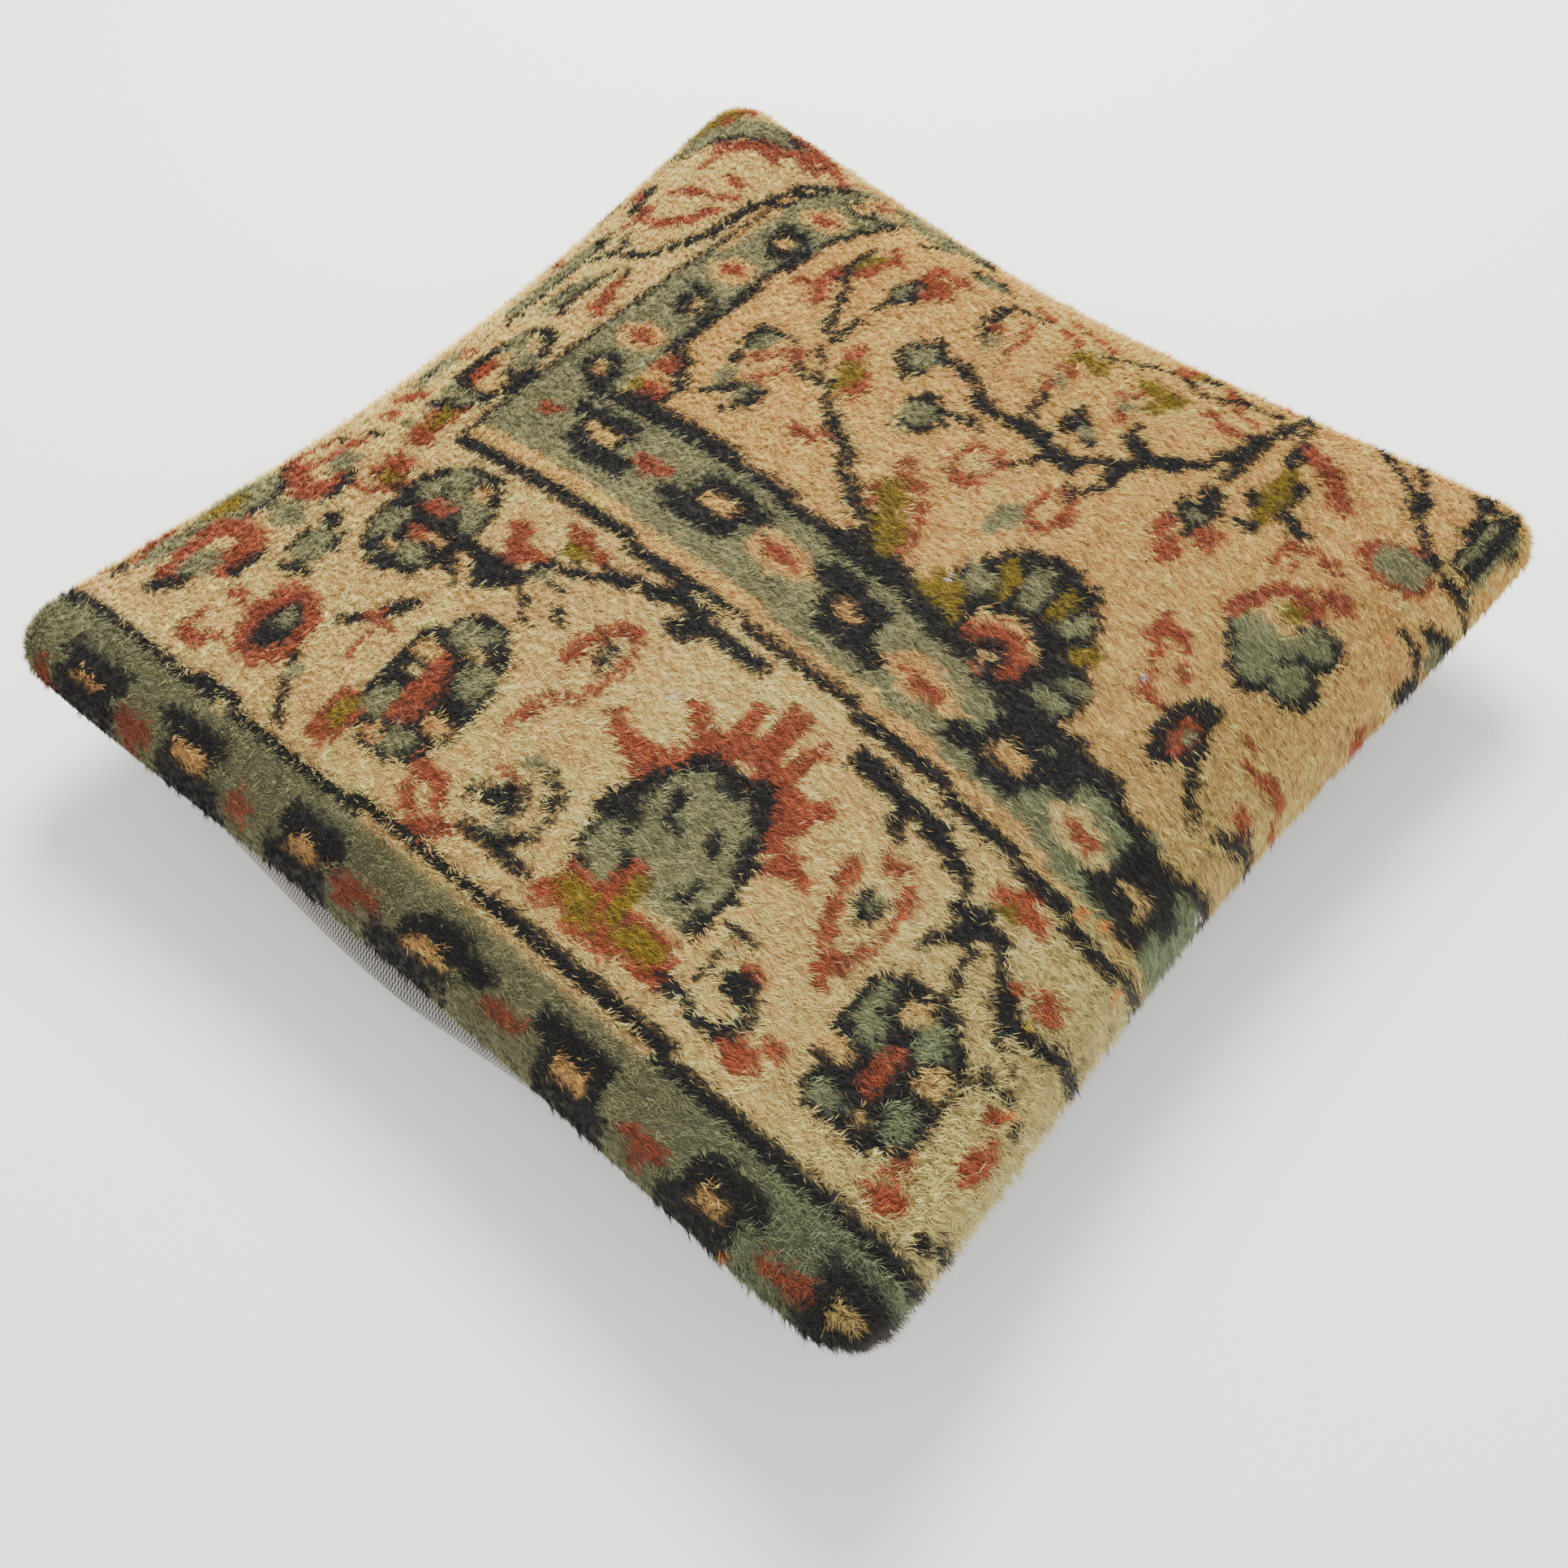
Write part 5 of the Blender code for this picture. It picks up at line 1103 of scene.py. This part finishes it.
def stitch_shape(length, thickness):
    """One stitch along +X, pulled into the cloth at both ends."""
    bm = bmesh.new()
    bmesh.ops.create_uvsphere(bm, u_segments=6, v_segments=4, radius=1)
    bmesh.ops.rotate(bm, verts=bm.verts, matrix=Matrix.Rotation(math.pi / 2, 3, "Y"))
    bmesh.ops.scale(bm, verts=bm.verts, vec=(length / 2, thickness / 2, thickness / 2))
    bmesh.ops.triangulate(bm, faces=bm.faces)
    bmesh.ops.recalc_face_normals(bm, faces=bm.faces)
    bm.verts.ensure_lookup_table()
    points = np.array([v.co for v in bm.verts])
    faces = np.array([[v.index for v in f.verts] for f in bm.faces])
    bm.free()
    return points, faces


def lay_stitches(name, path, pitch, length, thickness, closed, up):
    """A row of stitches along a line of points. up gives the way out of the cloth."""
    if closed:
        path = np.concatenate([path, path[:1]])
    steps = np.linalg.norm(np.diff(path, axis=0), axis=1)
    travelled = np.concatenate([[0], np.cumsum(steps)])
    count = int(travelled[-1] / pitch)
    at = (np.arange(count) + 0.5) * travelled[-1] / count
    place = lambda d: np.stack([np.interp(d, travelled, path[:, k]) for k in range(3)], -1)
    middle = place(at)
    heading = place(np.minimum(at + 0.001, travelled[-1])) - place(np.maximum(at - 0.001, 0))
    heading /= np.linalg.norm(heading, axis=1, keepdims=True)
    out = up(middle)
    side = np.cross(out, heading)
    side /= np.linalg.norm(side, axis=1, keepdims=True)
    out = np.cross(heading, side)
    template, faces = stitch_shape(length, thickness)
    along, aside, proud = (template[None, :, k:k + 1] for k in range(3))
    points = middle[:, None] + along * heading[:, None] + aside * side[:, None] + proud * out[:, None]
    all_faces = faces[None] + (np.arange(count) * len(template))[:, None, None]
    return bulk_mesh(name, points.reshape(-1, 3), all_faces.reshape(-1, 3))


def rim_path(depth, height):
    """The line round the cover at the seam, that deep inside the pile's side."""
    t = np.linspace(-1, 1, 160, endpoint=False)
    one = np.ones_like(t)
    u = np.concatenate([t, one, -t, -one])
    v = np.concatenate([-one, t, one, -t])
    normal = frame_at(rug_tips, u, v, 1)[2]
    normal[:, 2] = 0
    normal /= np.linalg.norm(normal, axis=1, keepdims=True)
    points = rug_tips(u, v) - normal * depth
    points[:, 2] = seam_height(u, v) + height
    return points


def outwards(points):
    way = points * (1, 1, 0)
    return way / np.linalg.norm(way, axis=1, keepdims=True)


ZIP_FRAME = Matrix.Translation((0, ZIP_Y, ZIP_HEIGHT)) @ Matrix.Rotation(ZIP_TILT, 4, "X")


def build_coil(name, side):
    """Nylon coil: one filament wound along the tape's edge."""
    inner, outer, top, height, wire = 0.0005, 0.0033, 0.0012, 0.0019, 0.0004
    pitch, parts = 0.0013, 8
    turns = int(2 * ZIP_HALF / pitch)
    bm = bmesh.new()
    ring = bmesh.ops.create_circle(bm, segments=5, radius=wire)["verts"]
    bmesh.ops.rotate(bm, verts=ring, matrix=Matrix.Rotation(math.pi / 2, 3, "X"))
    bmesh.ops.translate(bm, verts=ring, vec=(0, 0, height / 2 - wire))
    bmesh.ops.rotate(bm, verts=ring, matrix=Matrix.Rotation(math.pi / 2, 3, "Z"))
    bmesh.ops.spin(bm, geom=bm.edges[:], cent=(0, 0, 0), axis=(1, 0, 0), dvec=(pitch / parts, 0, 0),
                   angle=2 * math.pi * turns, steps=turns * parts, use_merge=False)
    bmesh.ops.holes_fill(bm, edges=[e for e in bm.edges if e.is_boundary], sides=8)
    bmesh.ops.recalc_face_normals(bm, faces=bm.faces)
    bmesh.ops.scale(bm, verts=bm.verts, vec=(1, (outer - inner) / height, 1))
    middle = (-turns * pitch / 2, side * (inner + outer) / 2, top - height / 2)
    bmesh.ops.translate(bm, verts=bm.verts, vec=middle)
    bmesh.ops.transform(bm, verts=bm.verts, matrix=ZIP_FRAME)
    return finished(name, bm)


def finished(name, bm):
    mesh = bpy.data.meshes.new(name)
    bm.to_mesh(mesh)
    bm.free()
    for polygon in mesh.polygons:
        polygon.use_smooth = True
    obj = bpy.data.objects.new(name, mesh)
    bpy.context.scene.collection.objects.link(obj)
    return obj


def build_topstitch(name, side):
    reach = ZIP_HALF + OPENING_END
    t = np.linspace(-reach, reach, 200)
    flat = [ZIP_FRAME @ Vector((x, side * TOP_ROW_PLACE, -GAP / 2)) for x in t]
    down = np.array(ZIP_FRAME.to_3x3() @ Vector((0, 0, -1)))
    return lay_stitches(name, np.array(flat), *TOP_ROW, False, lambda p: np.tile(down, (len(p), 1)))


def insert_pull(reach, along, pull, dent):
    """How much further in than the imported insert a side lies, so that it stays inside the cover."""
    bow = 1 - (along / HALF) ** 2
    dented = dent * math.exp(-((along / HALF - DENT_PLACE) / DENT_WIDTH) ** 2)
    more = max(pull * bow ** PULL_SHAPE + dented - PACKED_PULL * bow, 0)
    return math.copysign(more * min(abs(reach) / INSERT_RIM, 1) ** 6, reach)


def soft_copy(name, node, depth, seed):
    """A cloth copy of an inner solid: its facets rounded and lightly creased."""
    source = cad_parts[node]
    bm = bmesh.new()
    bm.from_mesh(source.data)
    bm.transform(source.matrix_world)
    bmesh.ops.remove_doubles(bm, verts=bm.verts, dist=1e-5)
    bmesh.ops.dissolve_degenerate(bm, edges=bm.edges, dist=1e-5)
    bmesh.ops.recalc_face_normals(bm, faces=bm.faces)
    bmesh.ops.subdivide_edges(bm, edges=bm.edges, cuts=SOFT_CUTS, use_grid_fill=True)
    bm.normal_update()
    rng = np.random.default_rng(seed)
    waves = [(rng.uniform(20, 60, 3), rng.uniform(0, 6)) for _ in range(5)]
    for vert in bm.verts:
        x, y, z = vert.co
        vert.co.x -= insert_pull(x, y, PULL_LEFT if x < 0 else PULL_RIGHT, 0)
        vert.co.y -= insert_pull(y, x, PULL_NEAR if y < 0 else PULL_FAR, PULL_DENT if y > 0 else 0)
        crease = sum(math.sin(w[0] * x + w[1] * y + p) for w, p in waves) / len(waves)
        inward = fade(abs(z - SEAM_HEIGHT), 0.02)
        vert.co.z += -np.sign(z - SEAM_HEIGHT) * depth * abs(crease) * (1 - inward)
    return finished(name, bm)


def seam_copy(name, node, row):
    """Stitches along an inner thread."""
    low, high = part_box(node)
    x, z = (low[0] + high[0]) / 2, (low[2] + high[2]) / 2
    t = np.linspace(low[1], high[1], 60)
    path = np.stack([np.full_like(t, x), t, np.full_like(t, z)], -1)
    return lay_stitches(name, path, *row, False, outwards)


# ---------------------------------------------------------------- finishes

def finish_of(name, color, roughness, metallic=0.0, sheen=0.0, tint=None):
    mat = bpy.data.materials.new(name)
    mat.use_nodes = True
    shader = mat.node_tree.nodes["Principled BSDF"]
    shader.inputs["Base Color"].default_value = (*linear(color), 1)
    shader.inputs["Roughness"].default_value = roughness
    shader.inputs["Metallic"].default_value = metallic
    shader.inputs["Sheen Weight"].default_value = sheen
    shader.inputs["Sheen Roughness"].default_value = 0.5
    if tint is not None:
        shader.inputs["Sheen Tint"].default_value = (*linear(tint), 1)
    return mat, mat.node_tree, shader


def node(tree, kind, **values):
    made = tree.nodes.new(kind)
    for key, value in values.items():
        if key in made.inputs:
            made.inputs[key].default_value = value
        else:
            setattr(made, key, value)
    return made


def dyed_wool(name, rough, fibres):
    mat, tree, shader = finish_of(name, (0.7, 0.6, 0.45), rough, sheen=0.12, tint=(1, 0.93, 0.82))
    dye_and_shade = node(tree, "ShaderNodeAttribute", attribute_name="dye_and_shade")
    coords = node(tree, "ShaderNodeTexCoord")
    noise = node(tree, "ShaderNodeTexNoise", Scale=fibres, Detail=2.0)
    tree.links.new(coords.outputs["Object"], noise.inputs["Vector"])
    ramp = node(tree, "ShaderNodeMapRange")
    ramp.inputs["To Min"].default_value = 0.80
    ramp.inputs["To Max"].default_value = 1.20
    tree.links.new(noise.outputs["Fac"], ramp.inputs["Value"])
    mix = node(tree, "ShaderNodeVectorMath", operation="SCALE")
    tree.links.new(dye_and_shade.outputs["Color"], mix.inputs[0])
    tree.links.new(ramp.outputs["Result"], mix.inputs["Scale"])
    tree.links.new(mix.outputs["Vector"], shader.inputs["Base Color"])
    return mat


def woven(name, dark, light, pitch, use_uv, roughness=0.9, strength=0.35):
    """Plain weave: threads over and under, in two yarns."""
    mat, tree, shader = finish_of(name, light, roughness, sheen=0.15)
    if use_uv:
        source = node(tree, "ShaderNodeUVMap", uv_map="cloth").outputs["UV"]
    else:
        source = node(tree, "ShaderNodeTexCoord").outputs["Object"]
    # one full wave to a thread
    scale = 2 * math.pi / pitch / 20
    threads = dict(Scale=scale, wave_profile="SIN", Distortion=0.6)
    warp, weft = (node(tree, "ShaderNodeTexWave", bands_direction=way, **threads) for way in ("X", "Y"))
    patch = node(tree, "ShaderNodeTexChecker", Scale=1 / pitch)
    for texture in (warp, weft, patch):
        tree.links.new(source, texture.inputs["Vector"])
    patch.inputs["Color1"].default_value = (*linear(dark), 1)
    patch.inputs["Color2"].default_value = (*linear(light), 1)
    fleck = node(tree, "ShaderNodeTexNoise", Scale=140.0, Detail=3.0)
    tree.links.new(source, fleck.inputs["Vector"])
    tone = node(tree, "ShaderNodeMapRange")
    tone.inputs["To Min"].default_value = 0.7
    tone.inputs["To Max"].default_value = 1.3
    tree.links.new(fleck.outputs["Fac"], tone.inputs["Value"])
    shade = node(tree, "ShaderNodeVectorMath", operation="SCALE")
    tree.links.new(patch.outputs["Color"], shade.inputs[0])
    tree.links.new(tone.outputs["Result"], shade.inputs["Scale"])
    tree.links.new(shade.outputs["Vector"], shader.inputs["Base Color"])
    over = node(tree, "ShaderNodeMath", operation="MULTIPLY")
    tree.links.new(warp.outputs["Fac"], over.inputs[0])
    tree.links.new(weft.outputs["Fac"], over.inputs[1])
    bump = node(tree, "ShaderNodeBump", Strength=strength, Distance=0.0003)
    tree.links.new(over.outputs["Value"], bump.inputs["Height"])
    tree.links.new(bump.outputs["Normal"], shader.inputs["Normal"])
    return mat


def spun(name, color):
    """Sewing thread: fine slanting twist."""
    mat, tree, shader = finish_of(name, color, 0.75, sheen=0.2)
    coords = node(tree, "ShaderNodeTexCoord")
    twist = node(tree, "ShaderNodeTexWave", Scale=260.0, bands_direction="DIAGONAL", Distortion=1.0)
    tree.links.new(coords.outputs["Object"], twist.inputs["Vector"])
    tone = node(tree, "ShaderNodeMix", data_type="RGBA")
    tree.links.new(twist.outputs["Fac"], tone.inputs["Factor"])
    tone.inputs["A"].default_value = (*(linear(color) * 0.75), 1)
    tone.inputs["B"].default_value = (*linear(color), 1)
    tree.links.new(tone.outputs["Result"], shader.inputs["Base Color"])
    return mat


def plated(name, color):
    """Cast metal with a thin nickel plate, slightly worn."""
    mat, tree, shader = finish_of(name, color, 0.3, metallic=1.0)
    coords = node(tree, "ShaderNodeTexCoord")
    scuffs = node(tree, "ShaderNodeTexNoise", Scale=420.0, Detail=4.0)
    tree.links.new(coords.outputs["Object"], scuffs.inputs["Vector"])
    rough = node(tree, "ShaderNodeMapRange")
    rough.inputs["To Min"].default_value = 0.22
    rough.inputs["To Max"].default_value = 0.45
    tree.links.new(scuffs.outputs["Fac"], rough.inputs["Value"])
    tree.links.new(rough.outputs["Result"], shader.inputs["Roughness"])
    tone = node(tree, "ShaderNodeMix", data_type="RGBA")
    tree.links.new(scuffs.outputs["Fac"], tone.inputs["Factor"])
    tone.inputs["A"].default_value = (*(linear(color) * 0.85), 1)
    tone.inputs["B"].default_value = (*linear(color), 1)
    tree.links.new(tone.outputs["Result"], shader.inputs["Base Color"])
    return mat


def fibre_fill(name, color):
    mat, tree, shader = finish_of(name, color, 0.95, sheen=0.3)
    coords = node(tree, "ShaderNodeTexCoord")
    wisps = node(tree, "ShaderNodeTexNoise", Scale=90.0, Detail=6.0)
    tree.links.new(coords.outputs["Object"], wisps.inputs["Vector"])
    tone = node(tree, "ShaderNodeMix", data_type="RGBA")
    tree.links.new(wisps.outputs["Fac"], tone.inputs["Factor"])
    tone.inputs["A"].default_value = (*(linear(color) * 0.8), 1)
    tone.inputs["B"].default_value = (*linear(color), 1)
    tree.links.new(tone.outputs["Result"], shader.inputs["Base Color"])
    bump = node(tree, "ShaderNodeBump", Strength=0.5, Distance=0.001)
    tree.links.new(wisps.outputs["Fac"], bump.inputs["Height"])
    tree.links.new(bump.outputs["Normal"], shader.inputs["Normal"])
    return mat


def wear(obj, mat):
    obj.data.materials.clear()
    obj.data.materials.append(mat)
    return obj


def repaint(name, mat):
    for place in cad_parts[name].material_slots:
        place.material = mat


# ---------------------------------------------------------------- putting it together

def cover_body():
    """The stuffed cover as one closed skin, a little small, for the cloth to settle from."""
    flat = lambda u, v, out: np.zeros_like(u)
    bm = bmesh.new()
    for face, radius, out in ((rug_tips, RUG_ROUND, 1), (back_face, BACK_ROUND, -1)):
        place = face_place(face, radius, PILE_HEIGHT * (out > 0), out, flat)
        half = grid_mesh("cover_half", 48, 48, place, 0)
        bm.from_mesh(half.data)
        bpy.data.objects.remove(half)
    bmesh.ops.bridge_loops(bm, edges=[e for e in bm.edges if e.is_boundary])
    bmesh.ops.recalc_face_normals(bm, faces=bm.faces)
    body = finished("cover_body", bm)
    remesh = body.modifiers.new("even", "REMESH")
    remesh.mode, remesh.voxel_size = "VOXEL", SETTLE_VOXEL
    bpy.context.view_layer.update()
    even_mesh = bpy.data.meshes.new_from_object(body.evaluated_get(bpy.context.evaluated_depsgraph_get()))
    body.modifiers.clear()
    body.data = even_mesh
    return body


def settled_relief():
    """How the cloth settles over its filling, as a height over the cut shape. Only the creases are kept."""
    body = cover_body()
    count = len(body.data.vertices)
    start, end = np.empty(count * 3, np.float32), np.empty(count * 3, np.float32)
    body.data.vertices.foreach_get("co", start)
    cloth = body.modifiers.new("settle", "CLOTH")
    cloth.settings.quality = 4
    cloth.settings.use_pressure = True
    cloth.settings.uniform_pressure_force = SETTLE_PRESSURE
    cloth.settings.tension_stiffness = cloth.settings.compression_stiffness = 12
    cloth.settings.effector_weights.gravity = 0
    cloth.point_cache.frame_start, cloth.point_cache.frame_end = 1, SETTLE_FRAMES
    for number in range(1, SETTLE_FRAMES + 1):
        bpy.context.scene.frame_set(number)
    settled = body.evaluated_get(bpy.context.evaluated_depsgraph_get())
    settled.data.vertices.foreach_get("co", end)
    start, moved = start.reshape(-1, 3), (end - start).reshape(-1, 3)
    bpy.context.scene.frame_set(1)
    bpy.data.objects.remove(body)
    far = np.linalg.norm(moved, axis=1, keepdims=True)
    moved *= np.minimum(1, SETTLE_CAP / np.maximum(far, 1e-9))
    tree = KDTree(count)
    for n, point in enumerate(start):
        tree.insert(point, n)
    tree.balance()
    lines = np.linspace(-1, 1, SETTLE_LINES)
    heights = {}
    for face, out in ((rug_tips, 1), (back_face, -1)):
        u, v = np.meshgrid(lines, lines, indexing="ij")
        points, normal = face(u, v), frame_at(face, u, v, out)[2]
        points = points - normal * PILE_HEIGHT * (out > 0)
        height = np.empty_like(u)
        for at in np.ndindex(u.shape):
            near = tree.find_n(points[at], 4)
            share = np.array([1 / (d + 1e-4) for _, _, d in near])
            way = (moved[[n for _, n, _ in near]] * share[:, None]).sum(0) / share.sum()
            height[at] = way @ normal[at]
        broad = height
        for _ in range(30):
            padded = np.pad(broad, 1, mode="edge")
            broad = (padded[:-2, 1:-1] + padded[2:, 1:-1] + padded[1:-1, :-2] + padded[1:-1, 2:]) / 4
        heights[out] = np.clip(height - broad, -CREASE_CAP, CREASE_CAP)

    def relief(u, v, out):
        a, b = ((np.clip(k, -1, 1) + 1) / 2 * (SETTLE_LINES - 1.001) for k in (u, v))
        i, j = a.astype(int), b.astype(int)
        f, g = a - i, b - j
        h = heights[out]
        low = h[i, j] * (1 - f) + h[i + 1, j] * f
        high = h[i, j + 1] * (1 - f) + h[i + 1, j + 1] * f
        free = (1 - np.abs(u) ** 12) * (1 - np.abs(v) ** 12)
        if out < 0:
            x, y = plan(u, v)
            free = free * (1 - band_weight(x, y)) * (1 - fade(np.abs(y - ZIP_Y) - BAND_HALF - 0.004, 0.02))
        return (low * (1 - g) + high * g) * free

    return relief


relief = settled_relief()
colors = knot_colors(np.random.default_rng(5))

wool = dyed_wool("pile_wool", 0.85, 900.0)
thick_wool = dyed_wool("pile_wool_bed", 0.95, 500.0)
warps = woven("foundation_cotton", (0.50, 0.42, 0.33), (0.78, 0.72, 0.60), 0.0020, True, strength=0.8)
canvas = woven("back_canvas_weave", (0.15, 0.145, 0.135), (0.56, 0.54, 0.50), 0.0009, True)
tape_weave = woven("zip_tape_weave", (0.30, 0.29, 0.28), (0.44, 0.43, 0.41), 0.0006, False)
cambric = woven("insert_cambric", (0.84, 0.82, 0.77), (0.92, 0.90, 0.86), 0.0007, False, strength=0.2)
hollow = fibre_fill("hollow_fibre_fill", (0.94, 0.94, 0.92))
seam_yarn = spun("seam_yarn", (0.60, 0.57, 0.50))
top_yarn = spun("topstitch_yarn", (0.60, 0.58, 0.54))
closing_yarn = spun("closing_yarn", (0.82, 0.80, 0.75))
nylon, _, _ = finish_of("coil_nylon", (0.46, 0.45, 0.43), 0.38)
nickel = plated("nickel_plate", (0.78, 0.76, 0.72))

pile = build_pile(colors, relief)
bed = build_bed(colors, relief)
foundation = build_foundation(relief)
panel_main = build_back_panel("back_cloth_main", -1, MAIN_LINES, relief)
panel_strip = build_back_panel("back_cloth_strip", 1, STRIP_LINES, relief)
seam = lay_stitches("seam_stitches", rim_path(SEAM_DEPTH, 0.0), *SEAM_ROW, True, outwards)
top_main, top_strip = build_topstitch("topstitch_row_main", -1), build_topstitch("topstitch_row_strip", 1)
coil_main, coil_strip = build_coil("coil_winding_main", -1), build_coil("coil_winding_strip", 1)
case_top = soft_copy("insert_cloth_top", "insert_case_top", 0.0, 3)
case_bottom = soft_copy("insert_cloth_bottom", "insert_case_bottom", 0.0, 4)
filling = soft_copy("insert_fibre", "insert_filling", 0.0008, 5)
closing = seam_copy("insert_closing_stitches", "insert_closing_stitch", CLOSING_ROW)

FINISHED = (
    (pile, wool, "wool_pile", ("rug_pile",)),
    ([bed], thick_wool, "wool_pile", ("rug_pile",)),
    ([foundation], warps, "rug_foundation", ("rug_foundation",)),
    ([panel_main], canvas, "back_canvas", ("back_panel_main",)),
    ([panel_strip], canvas, "back_canvas", ("back_panel_strip",)),
    ([seam], seam_yarn, "seam_thread", ("perimeter_seam_thread",)),
    ([top_main], top_yarn, "topstitch_thread", ("topstitch_main",)),
    ([top_strip], top_yarn, "topstitch_thread", ("topstitch_strip",)),
    ([coil_main], nylon, "zip_coil", ("zip_coil_main",)),
    ([coil_strip], nylon, "zip_coil", ("zip_coil_strip",)),
    ([case_top], cambric, "insert_cotton", ("insert_case_top",)),
    ([case_bottom], cambric, "insert_cotton", ("insert_case_bottom",)),
    ([filling], hollow, "hollow_fibre", ("insert_filling",)),
    ([closing], closing_yarn, "closing_thread", ("insert_closing_stitch",)),
)
for pieces, mat, place, stands_for in FINISHED:
    for piece in pieces:
        wear(piece, mat)
        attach(piece, "cushion")
        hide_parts(*stands_for)

for name in ("zip_tape_main", "zip_tape_strip"):
    repaint(name, tape_weave)
for name in ("zip_top_stop_main", "zip_top_stop_strip", "zip_bottom_stop", "zip_slider_body", "zip_pull_tab"):
    repaint(name, nickel)


# ---------------------------------------------------------------- floor, light and camera

FLOOR_GAP = 0.0003        # keeps the floor from lying in the resting face


def build_floor():
    bm = bmesh.new()
    bmesh.ops.create_grid(bm, x_segments=1, y_segments=1, size=6)
    bmesh.ops.translate(bm, verts=bm.verts, vec=(0, 0, -FLOOR_GAP))
    floor = finished("studio_floor", bm)
    paper, _, _ = finish_of("studio_paper", (0.93, 0.93, 0.92), 0.9)
    wear(floor, paper)


def soft_light(name, at, aim, size, power, color=(1, 1, 1)):
    lamp = bpy.data.lights.new(name, "AREA")
    lamp.shape = "DISK"
    lamp.size = size
    lamp.energy = power
    lamp.color = color
    obj = bpy.data.objects.new(name, lamp)
    obj.location = at
    obj.rotation_euler = (Vector(aim) - Vector(at)).to_track_quat("-Z", "Y").to_euler()
    bpy.context.scene.collection.objects.link(obj)


def place_camera():
    turn, rise, roll = math.radians(43.58), math.radians(56.79), math.radians(-3.16)
    back = Vector((math.sin(turn) * math.cos(rise), -math.cos(turn) * math.cos(rise), math.sin(rise)))
    right = Vector((math.cos(turn), math.sin(turn), 0))
    up = back.cross(right)
    across = right * math.cos(roll) + up * math.sin(roll)
    upward = up * math.cos(roll) - right * math.sin(roll)
    camera = bpy.data.cameras.new("camera")
    camera.lens, camera.sensor_width = 41.37, 36
    camera.clip_start, camera.clip_end = 0.01, 50
    obj = bpy.data.objects.new("camera", camera)
    turned = Matrix((across, upward, back)).transposed().to_4x4()
    obj.matrix_world = Matrix.Translation(Vector((0.0644, -0.0736, 0.061)) + back * 0.769) @ turned
    bpy.context.scene.collection.objects.link(obj)
    bpy.context.scene.camera = obj


build_floor()
place_camera()
soft_light("window", (-0.55, 0.75, 1.25), (0, 0, 0.05), 0.8, 60)
soft_light("room", (0.9, -0.9, 1.1), (0, 0, 0.05), 1.4, 12)
world = bpy.data.worlds.new("studio")
world.use_nodes = True
world.node_tree.nodes["Background"].inputs["Color"].default_value = (1, 1, 1, 1)
world.node_tree.nodes["Background"].inputs["Strength"].default_value = 1.25
bpy.context.scene.world = world
